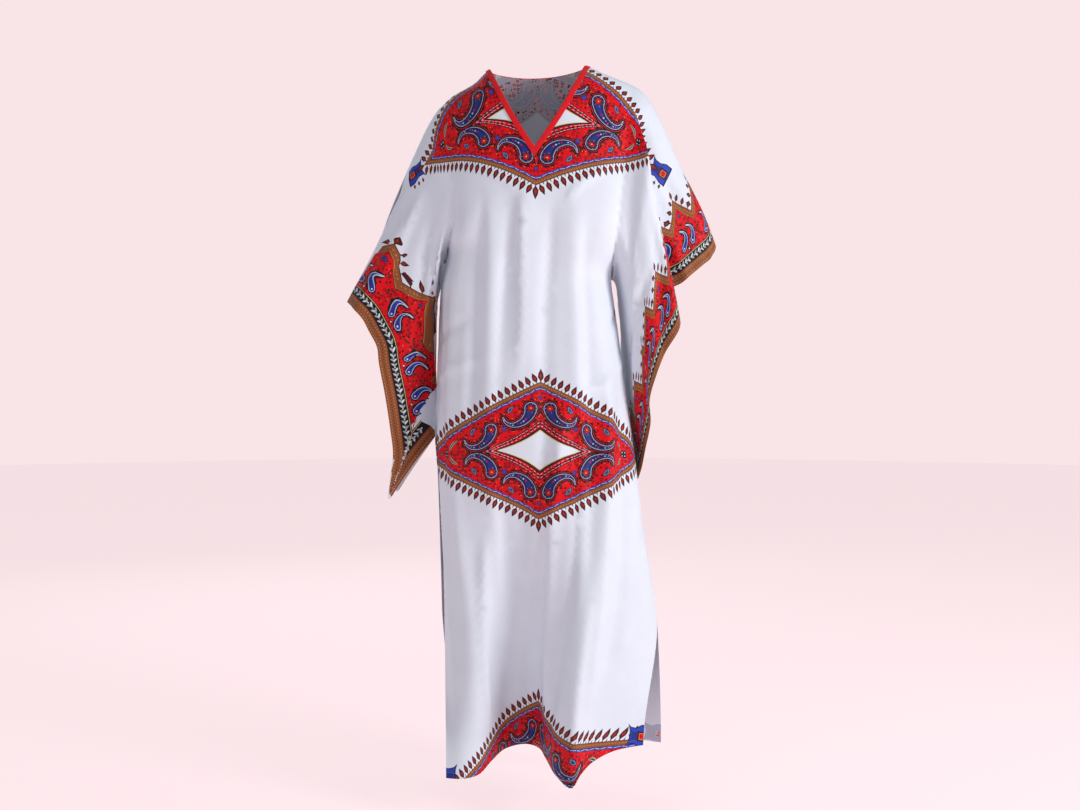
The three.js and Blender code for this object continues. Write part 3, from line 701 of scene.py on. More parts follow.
# ---- The printed pattern, in millimetres on the flat cut ----
INKS = {
    "white": (0.72, 0.76, 0.835),
    "red": (0.70, 0.003, 0.009),
    "brown": (0.27, 0.085, 0.03),
    "gold": (0.52, 0.23, 0.055),
    "maroon": (0.075, 0.012, 0.012),
    "drop": (0.30, 0.03, 0.02),
    "black": (0.012, 0.008, 0.014),
    "navy": (0.022, 0.032, 0.19),
    "blue": (0.025, 0.055, 0.42),
    "slate": (0.16, 0.21, 0.34),
    "pale": (0.52, 0.57, 0.66),
    "cream": (0.66, 0.58, 0.26),
    "sage": (0.36, 0.42, 0.30),
    "orange": (0.75, 0.16, 0.03),
    "yellow": (0.86, 0.62, 0.10),
}


LONGEST = 12.0  # longest straight edge of a printed shape, so that it follows the worn cloth
LEAST_INSIDE = 0.05  # twice the area of the smallest printed shape


def divided(points):
    """A closed outline with its long edges divided."""
    ends = np.roll(points, -1, axis=0)
    made = []
    for a, b in zip(points, ends):
        count = max(int(math.ceil(np.linalg.norm(b - a) / LONGEST)), 1)
        made.append(a + (b - a) * (np.arange(count) / count)[:, None])
    return np.concatenate(made)


class Layout:
    """Polygons in painting order. placed takes a motif's own points to the cloth."""

    def __init__(self, placed=None):
        self.polygons = []
        self.placed = placed

    def add(self, ink, points):
        points = divided(np.asarray(points, float))
        if self.placed:
            points = self.placed(points)
        area = twice_inside(points)
        if abs(area) > LEAST_INSIDE:
            self.polygons.append((ink, points if area > 0 else points[::-1]))


def circle(centre, radius, count=8, turn=0.0, stretch=1.0):
    """A round or, with few corners, a square or six-sided spot."""
    angle = turn + np.arange(count) * 2 * math.pi / count
    return np.stack(
        (centre[0] + radius * np.cos(angle), centre[1] + radius * stretch * np.sin(angle)), axis=-1
    )


def petals(centre, radius, count, depth, turn=0.0):
    """A star of petals; depth is how far it is cut in between them."""
    angle = turn + np.arange(count * 2) * math.pi / count
    r = radius * np.where(np.arange(count * 2) % 2, 1 - depth, 1)
    return np.stack((centre[0] + r * np.cos(angle), centre[1] + r * np.sin(angle)), axis=-1)


def bar(start, end, width):
    start, end = np.asarray(start, float), np.asarray(end, float)
    off = aside((end - start) / np.linalg.norm(end - start)) * width / 2
    return [start - off, end - off, end + off, start + off]


def leaf(start, end, width, bend=0.0, count=5):
    """A pointed leaf from start to end, its spine bowed to one side."""
    start, end = np.asarray(start, float), np.asarray(end, float)
    way = end - start
    off = aside(way) / np.linalg.norm(way)
    t = np.linspace(0, 1, count + 2)
    spine = start + way * t[:, None] + off * (bend * np.sin(math.pi * t))[:, None]
    half = (np.sin(math.pi * t) ** 0.8 * width / 2)[:, None] * off
    return np.concatenate((spine + half, (spine - half)[-2:0:-1]))


# Shares of a bud's length, and of its width there.
BUD_PROFILE = ((0.0, 0.18), (0.18, 0.18), (0.42, 0.95), (0.66, 0.8), (1.0, 0.0))


def teardrop(base, way, length, width):
    """A bud on a short stalk: narrow at the base, widest past the middle, and pointed."""
    off = aside(way)
    left = [base + way * length * t + off * width / 2 * w for t, w in BUD_PROFILE]
    right = [base + way * length * t - off * width / 2 * w for t, w in BUD_PROFILE[-2::-1]]
    return left + right


def bud(layout, base, way, length, width):
    """A dark bud with a red heart."""
    base, way = np.asarray(base, float), np.asarray(way, float)
    layout.add("maroon", teardrop(base, way, length, width))
    heart = base + way * length * 0.5
    off = aside(way) * width * 0.24
    tip = way * length * 0.26
    layout.add("drop", [heart - tip * 0.75, heart + off, heart + tip, heart - off])


def bezier(a, b, c, d, count):
    t = np.linspace(0, 1, count)[:, None]
    u = 1 - t
    return a * u**3 + 3 * b * u * u * t + 3 * c * u * t * t + d * t**3


def comma(spine, head, tail, grow=0.0, ragged=0.0):
    """Outline of a paisley: a round head at the spine's start that tapers to its tail."""
    way = np.gradient(spine, axis=0)
    way /= np.linalg.norm(way, axis=1)[:, None]
    off = np.stack((-way[:, 1], way[:, 0]), axis=-1)
    t = np.linspace(0, 1, len(spine))
    half = (lerp(head, tail, t**0.85) + grow)[:, None]
    if ragged:
        half = half + ragged * np.where(np.arange(len(spine)) % 2, 1, -1)[:, None]
    angle = np.linspace(math.pi / 2, -math.pi / 2, 9)[1:-1]
    cap = [
        spine[0] - way[0] * math.cos(a) * (head + grow) + off[0] * math.sin(a) * (head + grow)
        for a in angle
    ]
    if ragged:
        cap = [p + (p - spine[0]) * ragged / head * (1 if k % 2 else -1) for k, p in enumerate(cap)]
    end = [spine[-1] + way[-1] * (tail + grow)]
    return np.concatenate(([*(spine - off * half)], end, [*(spine + off * half)[::-1]], cap))


PAISLEY = {
    "head": 12.5, "tail": 1.6, "sag": 31, "lean": 0.14, "points": 15,
    "fringe": {"out": 8.0, "dots": 24, "size": 1.5},
    # Painted in this order: how far each layer stands out from the body, and how ragged it is.
    "layers": (("black", 6.4, 1.4), ("red", 3.4, 0), ("black", 2.4, 0), ("pale", -0.4, 0),
               ("navy", -1.3, 0)),
    "heart": {"points": 9, "tail": 5.0, "layers": (("black", -3.4), ("navy", -5.0))},
    "flower": (("maroon", 7.6, 0.14), ("red", 6.4, 0.22)),
}


def paisley(layout, head, tail, up):
    """A large paisley: head and tail are the ends of its spine, which hangs away from up."""
    head, tail = np.asarray(head, float), np.asarray(tail, float)
    lean = np.array([PAISLEY["lean"] * (head[0] - tail[0]), 0])
    sag = np.array([0, -PAISLEY["sag"] * up])
    last = PAISLEY["points"] - 1
    spine = bezier(head, head + sag, tail + lean + sag, tail, last + 1)
    size = (PAISLEY["head"], PAISLEY["tail"])
    fringe, heart = PAISLEY["fringe"], PAISLEY["heart"]
    outline = along(comma(spine, *size, fringe["out"]))
    for k, spot in enumerate(outline(np.linspace(0, 1, fringe["dots"] + 1)[:-1])):
        layout.add("orange" if k % 2 else "black", circle(spot, fringe["size"], 4, k))
    for ink, grow, ragged in PAISLEY["layers"]:
        layout.add(ink, comma(spine, *size, grow, ragged))
    for ink, grow in heart["layers"]:
        layout.add(ink, comma(spine[: heart["points"]], size[0], heart["tail"], grow))
    for k, share in enumerate(np.linspace(0.3, 0.93, 8)):
        spot = spine[int(share * last)]
        layout.add(("red", "pale", "slate")[k % 3], circle(spot, 2.3 - 1.5 * share, 6, k))
    for k in range(7):
        angle = math.pi * (0.1 + 0.3 * k)
        spot = head + 9.2 * np.array([math.cos(angle), math.sin(angle)])
        layout.add("pale" if k % 2 else "orange", circle(spot, 0.8, 4))
    for ink, radius, depth in PAISLEY["flower"]:
        layout.add(ink, petals(head, radius, 6, depth))
    layout.add("maroon", circle(head, 2.5, 6))
    layout.add("yellow", circle(head, 1.5, 5))


# Layers of a small leaf: share of its half length, and width.
SMALL_LEAF = {"half": 8.5, "layers": (("black", 1.22, 9.6), ("slate", 1, 7), ("navy", 0.6, 3.5))}


def small_leaf(layout, centre, way):
    way = np.asarray(way, float) / np.linalg.norm(way) * SMALL_LEAF["half"]
    centre = np.asarray(centre, float)
    for ink, share, width in SMALL_LEAF["layers"]:
        layout.add(ink, leaf(centre - way * share, centre + way * share, width, 1))


def small_flower(layout, centre, radius=5.0):
    layout.add("maroon", petals(centre, radius + 1.6, 6, 0.25))
    layout.add("blue", petals(centre, radius, 6, 0.25))
    layout.add("maroon", circle(centre, radius * 0.36, 6))
    layout.add("orange", circle(centre, radius * 0.18, 4))


def dotted(layout, ink, start, end, pitch, size):
    """A row of dots from start to end."""
    start, end = np.asarray(start, float), np.asarray(end, float)
    count = max(int(np.linalg.norm(end - start) / pitch), 1)
    for k in range(count):
        layout.add(ink, circle(lerp(start, end, (k + 0.5) / count), size, 4, 0.4))


def dashed(layout, ink, start, end, pitch, length, width, tilt=0.0):
    """A row of dashes from start to end, tilted by turns to one side and the other."""
    start, end = np.asarray(start, float), np.asarray(end, float)
    whole = np.linalg.norm(end - start)
    way = (end - start) / whole
    count = max(int(whole / pitch), 1)
    for k in range(count):
        middle = lerp(start, end, (k + 0.5) / count)
        slant = aside(way) * tilt * (1 if k % 2 else -1)
        half = way * length / 2
        layout.add(ink, bar(middle - half - slant, middle + half + slant, width))


BUD = {"length": 25, "width": 11, "pitch": 14.6}
# The diamond. bands are painted out from its field by their offset. frames, rows of dashes and the
# middle are four-pointed outlines of half width wide and half height high, whose sides bow inwards.
DIAMOND = {
    "wide": 240, "high": 125, "edge": 13,
    "bands": (("maroon", 14.2), ("brown", 13.2), ("maroon", 5.6), ("blue", 4.6)),
    "field": (("navy", 1.1), ("red", 0.2)),
    "dots": {"offset": 9.8, "pitch": 5.2, "size": 1.4},
    "dashes": {"offset": 2.9, "row": (11.5, 9.0, 1.1, 0.9)},
    "frames": (("maroon", 108, 62, 7), ("red", 104, 59.5, 7)),
    # Rows of dashes: ink, wide and high of their line, then pitch, length, width and tilt.
    "rows": (("pale", 103, 58.6, (6.4, 4.4, 0.9)), ("pale", 93, 51.5, (6.4, 4.4, 0.9)),
             ("black", 98, 55, (7.0, 5.0, 2.6, 0.8))),
    "middle": (("black", 88, 48, 7), ("maroon", 85, 45.5, 7), ("cream", 81, 42, 6.5),
               ("white", 77.5, 39.6, 6.5)),
    # From here on, places from the middle in one quarter, the same in all four.
    "paisleys": (((18, 86), (69, 67)), ((93, 43), (148, 24))),
    "leaves": ((56, 82), (131, 40)),
    "leaf_way": (-7, 11),
    "flower": (67, 44),
    "horn": {"from": (164, 24), "to": (182, 4), "bow": 4,
             "layers": (("black", 8.2), ("cream", 5.6), ("navy", 3.0))},
    "orange_dots": ((8, 66), (0, 100), (42, 60), (84, 66), (100, 76), (116, 8), (126, 14),
                    (112, 20), (154, 40), (162, 32), (78, 20), (196, 18), (204, 10), (34, 70)),
    "maroon_dots": ((12, 72), (90, 70), (120, 10), (106, 14), (158, 36), (200, 14)),
    # And on its two axes: a rosette, a ring and a flower.
    "rosette": {"at": 192, "layers": (("black", 4.6, 4.4, 8), ("pale", 4.8, 1.5, 6))},
    "ring": {"at": 216, "layers": (("maroon", 4.2, 8), ("slate", 2.4, 7))},
    "axis_flower": {"at": 108, "size": 3.6},
}


def rhombus(centre, offset):
    """The outline of the diamond's field, moved out by an offset."""
    a, b = DIAMOND["wide"], DIAMOND["high"]
    slant = math.hypot(a, b)
    a, b = a + offset * slant / b, b + offset * slant / a
    return np.asarray(centre, float) + [(a, 0), (0, b), (-a, 0), (0, -b)]


HOLLOW_STEPS = 6  # straight parts in each of its sides


def hollow(centre, wide, high, bow):
    """A four-pointed outline whose sides bow inwards."""
    made = []
    corners = [(wide, 0), (0, high), (-wide, 0), (0, -high)]
    for k in range(4):
        a, b = np.array(corners[k], float), np.array(corners[(k + 1) % 4], float)
        t = np.linspace(0, 1, HOLLOW_STEPS + 1)[:-1, None]
        middle = (a + b) / 2
        made.append(a + (b - a) * t - middle / np.linalg.norm(middle) * bow * np.sin(math.pi * t))
    return np.asarray(centre, float) + np.concatenate(made)


def quarter(layout, centre, flip):
    """The motifs in one quarter of the diamond; flip is the side that it lies on, both ways."""
    for head, tail in DIAMOND["paisleys"]:
        paisley(layout, centre + flip * head, centre + flip * tail, flip[1])
    for place in DIAMOND["leaves"]:
        small_leaf(layout, centre + flip * place, flip * DIAMOND["leaf_way"])
    small_flower(layout, centre + flip * DIAMOND["flower"])
    horn = DIAMOND["horn"]
    for ink, width in horn["layers"]:
        ends = (centre + flip * horn["from"], centre + flip * horn["to"])
        layout.add(ink, leaf(*ends, width, horn["bow"] * flip[0] * flip[1]))
    for place in DIAMOND["orange_dots"]:
        layout.add("orange", circle(centre + flip * place, 1.2, 4))
    for place in DIAMOND["maroon_dots"]:
        layout.add("maroon", circle(centre + flip * place, 1.7, 5))


def diamond(layout, centre):
    """The large diamond: a border of buds and bands, a red field of paisleys, and a plain middle."""
    centre = np.asarray(centre, float)
    edge = rhombus(centre, DIAMOND["edge"])
    for k in range(4):
        a, b = edge[k], edge[(k + 1) % 4]
        whole = np.linalg.norm(b - a)
        way = (b - a) / whole
        out = -aside(way)
        count = round(whole / BUD["pitch"])
        for n in range(count):
            base = lerp(a, b, (n + 0.5) / count) - out
            bud(layout, base, out, BUD["length"], BUD["width"])
            if n:
                spike = lerp(a, b, n / count) - out
                layout.add("maroon", [spike - way * 1.6, spike + way * 1.6, spike + out * 8])
    for corner, out in zip(edge, ((1, 0), (0, 1), (-1, 0), (0, -1))):
        bud(layout, corner - np.array(out) * 3.0, out, BUD["length"] * 1.25, BUD["width"] * 1.1)
    for ink, offset in DIAMOND["bands"]:
        layout.add(ink, rhombus(centre, offset))
    dots, dashes = DIAMOND["dots"], DIAMOND["dashes"]
    for k in range(4):
        line = rhombus(centre, dots["offset"])
        dotted(layout, "gold", line[k], line[(k + 1) % 4], dots["pitch"], dots["size"])
        line = rhombus(centre, dashes["offset"])
        dashed(layout, "pale", line[k], line[(k + 1) % 4], *dashes["row"])
    for ink, offset in DIAMOND["field"]:
        layout.add(ink, rhombus(centre, offset))
    for ink, *shape in DIAMOND["frames"]:
        layout.add(ink, hollow(centre, *shape))
    for ink, wide, high, row in DIAMOND["rows"]:
        line = hollow(centre, wide, high, 7)
        for a, b in zip(line, np.roll(line, -1, axis=0)):
            dashed(layout, ink, a, b, *row)
    for ink, *shape in DIAMOND["middle"]:
        layout.add(ink, hollow(centre, *shape))
    for right in (-1, 1):
        for up in (-1, 1):
            quarter(layout, centre, np.array([right, up]))
        spot = centre + np.array([right * DIAMOND["rosette"]["at"], 0])
        for ink, reach, size, corners in DIAMOND["rosette"]["layers"]:
            for k in range(4):
                angle = math.pi / 4 + k * math.pi / 2
                petal = spot + reach * np.array([math.cos(angle), math.sin(angle)])
                layout.add(ink, circle(petal, size, corners))
        for ink, size, corners in DIAMOND["ring"]["layers"]:
            spot = centre + np.array([right * DIAMOND["ring"]["at"], 0])
            layout.add(ink, circle(spot, size, corners))
    flower = DIAMOND["axis_flower"]
    for up in (-1, 1):
        small_flower(layout, centre + np.array([0, up * flower["at"]]), flower["size"])


# The corner ornament: its outline, and the layers of the square tile on it.
BRACKET = {
    "outline": ((-21, -20), (-14, -15), (-4, -14), (8, -20), (22, -20), (22, 20), (8, 20), (-4, 14),
                (-14, 15), (-21, 20), (-17, 10), (-15, 0), (-17, -10)),
    "rim": 1.12, "heart": (0.55, 0.5), "heart_in": 4, "tile_out": 11,
    "tile": ((13.2, "black"), (9.12, "orange"), (6.72, "red")),
    "buds": {"pitch": 13, "below": 22, "length": 12, "width": 6.5},
}


def bracket(layout, centre, out):
    """A square-horned corner ornament with a red tile, at the side of a diamond."""
    centre = np.asarray(centre, float)
    shape = np.array(BRACKET["outline"], float) * (out, 1)
    layout.add("black", centre + shape * BRACKET["rim"])
    layout.add("blue", centre + shape)
    layout.add("navy", centre + shape * BRACKET["heart"] - (out * BRACKET["heart_in"], 0))
    for size, ink in BRACKET["tile"]:
        layout.add(ink, circle(centre + (out * BRACKET["tile_out"], 0), size, 4, math.pi / 4))
    buds = BRACKET["buds"]
    for k in (-1, 0, 1):
        root = centre + (k * buds["pitch"], -buds["below"])
        bud(layout, root, (0, -1), buds["length"], buds["width"])


# Border along the cuff, in distances along it (s) and in from it (w).
BORDER = {
    "pitch": 77, "peak": 152, "valley": 108, "first": 12, "base": 30.0, "past": 60,
    # The stepped band and the field under it, painted in this order: how far below the top edge.
    "band": (("maroon", -1), ("brown", 0.8)),
    "field": (("gold", 15.8), ("maroon", 17.2), ("red", 18.8)),
    "dots": {"below": 8, "pitch": 5.4, "size": 1.5},
    # In each step, places from the one under its peak: two paisleys, a flower and a ring.
    "paisleys": (((-14, 57), (-17, 91)), ((15, 55), (8, 89))),
    "flower": {"at": 117, "size": 4.4},
    "ring": {"at": (1, 48), "layers": (("maroon", 4.0, 8), ("white", 2.0, 6)), "stretch": 0.8},
    "orange_dots": ((38, 52), (32, 62), (-34, 64), (-26, 104), (20, 104), (10, 108), (-12, 110)),
    "stars": ((36, 74), (-36, 74), (38, 84), (34, 60), (24, 98), (-24, 98)),
    # The plain bands at the hem: from, to and ink, then rows of dots, then a row of leaves.
    "bands": ((-2, 20.5, "brown"), (20.5, 22, "maroon"), (22, 38.5, "black"), (38.5, 39.6, "cream"),
              (39.6, 41.4, "maroon")),
    "dot_rows": ((4.0, "gold"), (10.0, "maroon"), (16.0, "gold")),
    "leaf_pitch": 10.5, "leaf_line": 30.2,
}
CUFF_SPOTS = 500  # places along the cuff that a spot's distance from it is measured to
CUFF_LEAST = 0.5  # a cell with less than this, twice its area along the cuff, is left out
CUFF_JUMP = 30.0  # a cell that spans more of the cuff than this lies across a mitre
MOST_STRETCH = 2.8  # a printed shape that the fold of the cloth stretches more is left out
PAST = 4.0  # how far the printed shapes run past the edge of the cloth
# A small paisley: sizes of its head and tail, and layers by points of the spine, tail and growth.
DROP = {
    "head": 6.6, "bend": -0.42, "points": 9,
    "layers": (("pale", 9, 1.2, 0.0), ("blue", 8, 1.2, -1.1), ("navy", 5, 3.0, -3.2)),
}


def drop_paisley(layout, head, tail):
    """A small blue paisley with a curled tail."""
    head, tail = np.asarray(head, float), np.asarray(tail, float)
    way = tail - head
    off = aside(way) * DROP["bend"]
    first, last = head + way * 0.45 - off, tail - way * 0.1 - off
    spine = bezier(head, first, last, tail + off * 0.5, DROP["points"])
    layout.add("black", comma(spine, DROP["head"], 1.2, 3.4, ragged=0.9))
    for ink, count, end, grow in DROP["layers"]:
        layout.add(ink, comma(spine[:count], DROP["head"], end, grow))
    layout.add("white", circle(head, 1.9, 6))


def cuff_border(layout, length):
    """The border along a cuff of a given length: steps with paisleys, and plain bands at the hem."""
    pitch, past = BORDER["pitch"], BORDER["past"]
    peaks = np.arange(BORDER["first"] - pitch, length + pitch, pitch)
    corners = []
    for peak in peaks:
        corners += [(peak, BORDER["peak"]), (peak + pitch / 2, BORDER["valley"])]
    corners = np.array(corners, float)

    def field(ink, shift):
        first, last = ((corners[end][0], BORDER["base"]) for end in (0, -1))
        layout.add(ink, [first, *(corners - (0, shift)), last])

    for a, b in zip(corners[:-1], corners[1:]):
        out = aside((b - a) / np.linalg.norm(b - a))
        for n in range(3):
            bud(layout, lerp(a, b, (n + 0.62) / 3.3) - out, out, 18, 10)
    for peak in peaks:
        bud(layout, (peak, BORDER["peak"] - 2), (0, 1), 20, 10)
    for ink, shift in BORDER["band"]:
        field(ink, shift)
    dots = BORDER["dots"]
    for a, b in zip(corners[:-1], corners[1:]):
        ends = (a - (0, dots["below"]), b - (0, dots["below"]))
        dotted(layout, "gold", *ends, dots["pitch"], dots["size"])
    for ink, shift in BORDER["field"]:
        field(ink, shift)
    for peak in peaks:
        for (s, w), (end, top) in BORDER["paisleys"]:
            drop_paisley(layout, (peak + s, w), (peak + end, top))
        small_flower(layout, (peak, BORDER["flower"]["at"]), BORDER["flower"]["size"])
        s, w = BORDER["ring"]["at"]
        for ink, size, count in BORDER["ring"]["layers"]:
            spot = circle((peak + s, w), size, count, stretch=BORDER["ring"]["stretch"])
            layout.add(ink, spot)
        for s, w in BORDER["orange_dots"]:
            layout.add("orange", circle((peak + s, w), 1.3, 4))
        for s, w in BORDER["stars"]:
            layout.add("maroon", petals((peak + s, w), 3.6, 4, 0.5, s))
            layout.add("drop", circle((peak + s, w), 1.2, 4))
    for low, high, ink in BORDER["bands"]:
        ends = (-past, length + past)
        layout.add(ink, [(ends[0], low), (ends[1], low), (ends[1], high), (ends[0], high)])
    for w, ink in BORDER["dot_rows"]:
        dotted(layout, ink, (0, w), (length, w), 6.2, 1.5)
    pitch, w = BORDER["leaf_pitch"], BORDER["leaf_line"]
    for k in range(-3, int(length / pitch) + 4):
        s = (k + 0.5) * pitch
        inks = ("pale", "sage", "white") if k % 2 else ("sage", "white", "slate")
        layout.add(inks[0], leaf((s - 5.2, w - 6.4), (s + 2.2, w + 0.6), 4.2, 0.8, 3))
        layout.add(inks[1], leaf((s - 4.6, w + 6.4), (s + 3.0, w - 0.4), 4.0, -0.8, 3))
        layout.add(inks[2], circle((s + 4.0, w), 1.6, 5))


def clipped(points, low, high):
    """The part of an outline whose first coordinate lies between low and high."""
    for limit, sign in ((low, 1), (high, -1)):
        inside = (points[:, 0] - limit) * sign > 0
        if inside.all():
            continue
        if not inside.any():
            return None
        made = []
        for k in range(len(points)):
            a, b = points[k - 1], points[k]
            if inside[k - 1] != inside[k]:
                made.append(a + (b - a) * (limit - a[0]) / (b[0] - a[0]))
            if inside[k]:
                made.append(b)
        points = np.array(made)
    return points


BRACKET_OUT = 296  # from the middle of a diamond to the ornament at its side
# Each diamond's centre on the worn garment and how the hang of the cloth shifts it, per side:
# wide scales it near the middle and tips at the ends, droop lowers the ends, bulge lifts the top edge.
DIAMONDS = {
    "front": (
        {"at": (7, -776), "wide": (0.98, 0.98), "tips": (0.97, 0.97), "droop": (16, -2),
         "bulge": (0, 0)},
        {"at": (6, -122), "wide": (1.2, 1.22), "tips": (0.94, 0.98), "droop": (27, 6),
         "bulge": (34, 20)},
        {"at": None, "wide": (0.9, 1.05), "tips": (0.82, 1.3), "droop": (0, -104), "bulge": (0, 0)},
    ),
    "back": (
        {"at": (0, -782), "wide": (1, 1), "tips": (1, 1), "droop": (4, 8), "bulge": (0, 0)},
        {"at": (0, -104), "wide": (1.1, 1.1), "tips": (0.95, 0.95), "droop": (20, 14),
         "bulge": (20, 20)},
        {"at": None, "wide": (0.96, 0.96), "tips": (0.96, 0.96), "droop": (0, 0), "bulge": (0, 0)},
    ),
}


BLUNT = 0.2  # least height of a diamond at its ends, as a share, in telling what lies near its edge
HEM_DIAMOND = (10, -46)  # its centre, past the middle of the hem
HEM_BRACKETS = ((2, 2), (-18, 16))  # from a corner of the hem to the middle of its ornament


def hung(centre, spec):
    """Takes a diamond's own points to the cut of the cloth, as the hang of the cloth shows them."""

    def placed(points):
        x, z = points.T
        side = (x > 0).astype(int)
        far = np.abs(x) / DIAMOND["wide"]
        reached = np.clip(far, 0, 1)
        wide, tips, droop, bulge = (
            np.array(spec[name], float)[side] for name in ("wide", "tips", "droop", "bulge")
        )
        edge = DIAMOND["high"] * np.maximum(1 - far, BLUNT)
        raised = np.clip(z / edge, 0, 1.25) * np.sin(math.pi * reached)
        return np.stack(
            (
                centre[0] + x * lerp(wide, tips, reached**2),
                centre[1] + z + bulge * raised - droop * reached**2,
            ),
            axis=-1,
        )

    return placed


def print_layout(face, charts):
    """All the printed polygons of one face, on its flat cut."""
    layout = Layout()
    for spec in DIAMONDS[face.name]:
        centre = charts["worn"](spec["at"]) if spec["at"] else charts["hem"] + HEM_DIAMOND
        own = Layout(hung(centre, spec))
        if spec["at"]:
            for out in (-1, 1):
                bracket(own, (out * BRACKET_OUT, 0), out)
        diamond(own, (0, 0))
        layout.polygons += own.polygons
        if not spec["at"]:
            for corner, out, shift in zip(charts["corners"], (-1, 1), HEM_BRACKETS):
                bracket(layout, corner + shift, out)
    for chart, length in charts["sleeves"]:
        border = Layout()
        cuff_border(border, length)
        kept = [(ink, clipped(p, -PAST, length + PAST)) for ink, p in border.polygons]
        kept = [(ink, p) for ink, p in kept if p is not None]
        every = chart.carry(np.concatenate([p for _, p in kept]), charts["flat"])
        ends = np.cumsum([len(p) for _, p in kept])[:-1]
        for (ink, own), points in zip(kept, np.split(every, ends)):
            stretch = np.ptp(points, axis=0).max() / np.ptp(own, axis=0).max()
            if stretch < MOST_STRETCH or len(own) > 2 * BORDER["pitch"]:
                layout.polygons.append((ink, points))
    return layout


# ---- The printed cloth ----
def rim_of(triangles):
    """The edges of a sheet that only one triangle has, and the number of that triangle."""
    edges = np.concatenate((triangles[:, [0, 1]], triangles[:, [1, 2]], triangles[:, [2, 0]]))
    key = np.sort(edges, axis=1)
    _, first, times = np.unique(key, axis=0, return_index=True, return_counts=True)
    alone = first[times == 1]
    return edges[alone], alone % len(triangles)


def boundary(triangles):
    """The outline of a sheet as one ring of point numbers."""
    following = dict(rim_of(triangles)[0].tolist())
    start = next(iter(following))
    ring = [start]
    while following[ring[-1]] != start:
        ring.append(following[ring[-1]])
    return ring


def cut_cloth(face):
    """Everything about one face: its worn points, its flat cut and its outline."""
    coarse = face_patches(face, 1)
    coarse_ids, coarse_points = joined(coarse)
    coarse_flat = flatten(coarse, coarse_ids, coarse_points)
    patches = face_patches(face, REFINE)
    ids, points = joined(patches)
    flat = np.zeros((len(points), 2))
    for patch_ids, coarse_patch in zip(ids, coarse_ids):
        flat[patch_ids] = finer(coarse_flat[coarse_patch], REFINE)
    facing = [triangles_of(one) for one in ids]
    for k in range(4):
        normal = normals_of(points, facing[k])[ids[k][3, 3]]
        if normal[1] * face.sign < 0:
            facing[k] = facing[k][:, ::-1]
    triangles = np.concatenate(facing)
    points = points + normals_of(points, triangles) * crease_height(face, flat)[:, None]
    return {
        "ids": ids, "points": points, "flat": flat, "triangles": triangles,
        "normals": normals_of(points, triangles), "ring": boundary(triangles),
    }


def charts_of(cut):
    """Where the printed pattern lies on the flat cut."""
    ids, points, flat = cut["ids"], cut["points"], cut["flat"]

    def worn(place):
        apart = np.array(place, float) - points[:, [0, 2]]
        nearest = np.argmin(np.linalg.norm(apart, axis=1))
        return flat[nearest] + apart[nearest]

    sleeves = []
    for side in (0, 1):
        grid = ids[2 * side + 1]
        seen = points[:, [0, 2]]
        edge = seen[grid[:, -1]]
        line = along(edge)(np.linspace(0, 1, CUFF_SPOTS))
        spots = seen[grid.ravel()]
        apart = np.linalg.norm(spots[:, None] - line[None], axis=2)
        nearest = apart.argmin(axis=1)
        way = np.gradient(line, axis=0)
        way /= np.linalg.norm(way, axis=1)[:, None]
        reach = reach_of(line)
        slip = ((spots - line[nearest]) * way[nearest]).sum(axis=1)
        step = reach[-1] / CUFF_SPOTS
        own = np.zeros((len(points), 2))
        own[grid.ravel()] = np.stack(
            (reach[nearest] + np.clip(slip, -step, step), apart.min(axis=1)), axis=-1
        )
        if side:  # the folded sleeve is measured along its rows
            run = np.array([reach_of(row) for row in points[grid]])
            cuff = np.broadcast_to(reach_of(points[grid[:, -1]])[:, None], grid.shape)
            own[grid] = np.stack((cuff, run[:, -1:] - run), axis=-1)
        triangles = triangles_of(grid)
        spread = np.ptp(own[triangles][:, :, 0], axis=1)
        area = np.abs(twice_area(own, triangles))
        kept = (spread < CUFF_JUMP) & (area > CUFF_LEAST)
        sleeves.append((Chart(own, triangles[kept]), own[grid[-1, -1], 0]))
    corners = [flat[ids[0][-1, 0]], flat[ids[2][-1, 0]]]
    middle = flat[ids[0][-1, -1]]
    return {"worn": worn, "hem": middle, "corners": corners, "sleeves": sleeves, "flat": flat}


def inside_of(polygon, spots):
    """Which spots lie inside a polygon, by counting the edges to one side of each."""
    inside = np.zeros(len(spots), bool)
    x, z = spots.T
    for (ax, az), (bx, bz) in zip(polygon, np.roll(polygon, -1, axis=0)):
        if az != bz:
            crosses = ((az > z) != (bz > z)) & (x < (bx - ax) * (z - az) / (bz - az) + ax)
            inside ^= crosses
    return inside


def painted(layout, spots):
    """The number of the last polygon painted over each spot, counted from 1, or 0 for bare cloth."""
    order = np.argsort(spots[:, 0])
    sorted_x = spots[order, 0]
    paint = np.zeros(len(spots), int)
    for number, (_, points) in enumerate(layout.polygons, 1):
        low, high = points.min(axis=0), points.max(axis=0)
        near = order[np.searchsorted(sorted_x, low[0]) : np.searchsorted(sorted_x, high[0])]
        near = near[(spots[near, 1] > low[1]) & (spots[near, 1] < high[1])]
        if len(near):
            paint[near[inside_of(points, spots[near])]] = number
    return paint


def merged(places, triangles):
    """The triangles with corners that all but coincide made one, and without those that vanish."""
    same = np.arange(len(places))
    for shift in ((0, 0), (0.5, 0), (0, 0.5), (0.5, 0.5)):
        cells = np.floor(places[same] / NEAR + shift)
        _, first, back = np.unique(cells, axis=0, return_index=True, return_inverse=True)
        same = same[first][back.reshape(-1)]
    a, b, c = same[triangles].T
    return same[triangles][(a != b) & (b != c) & (c != a)]


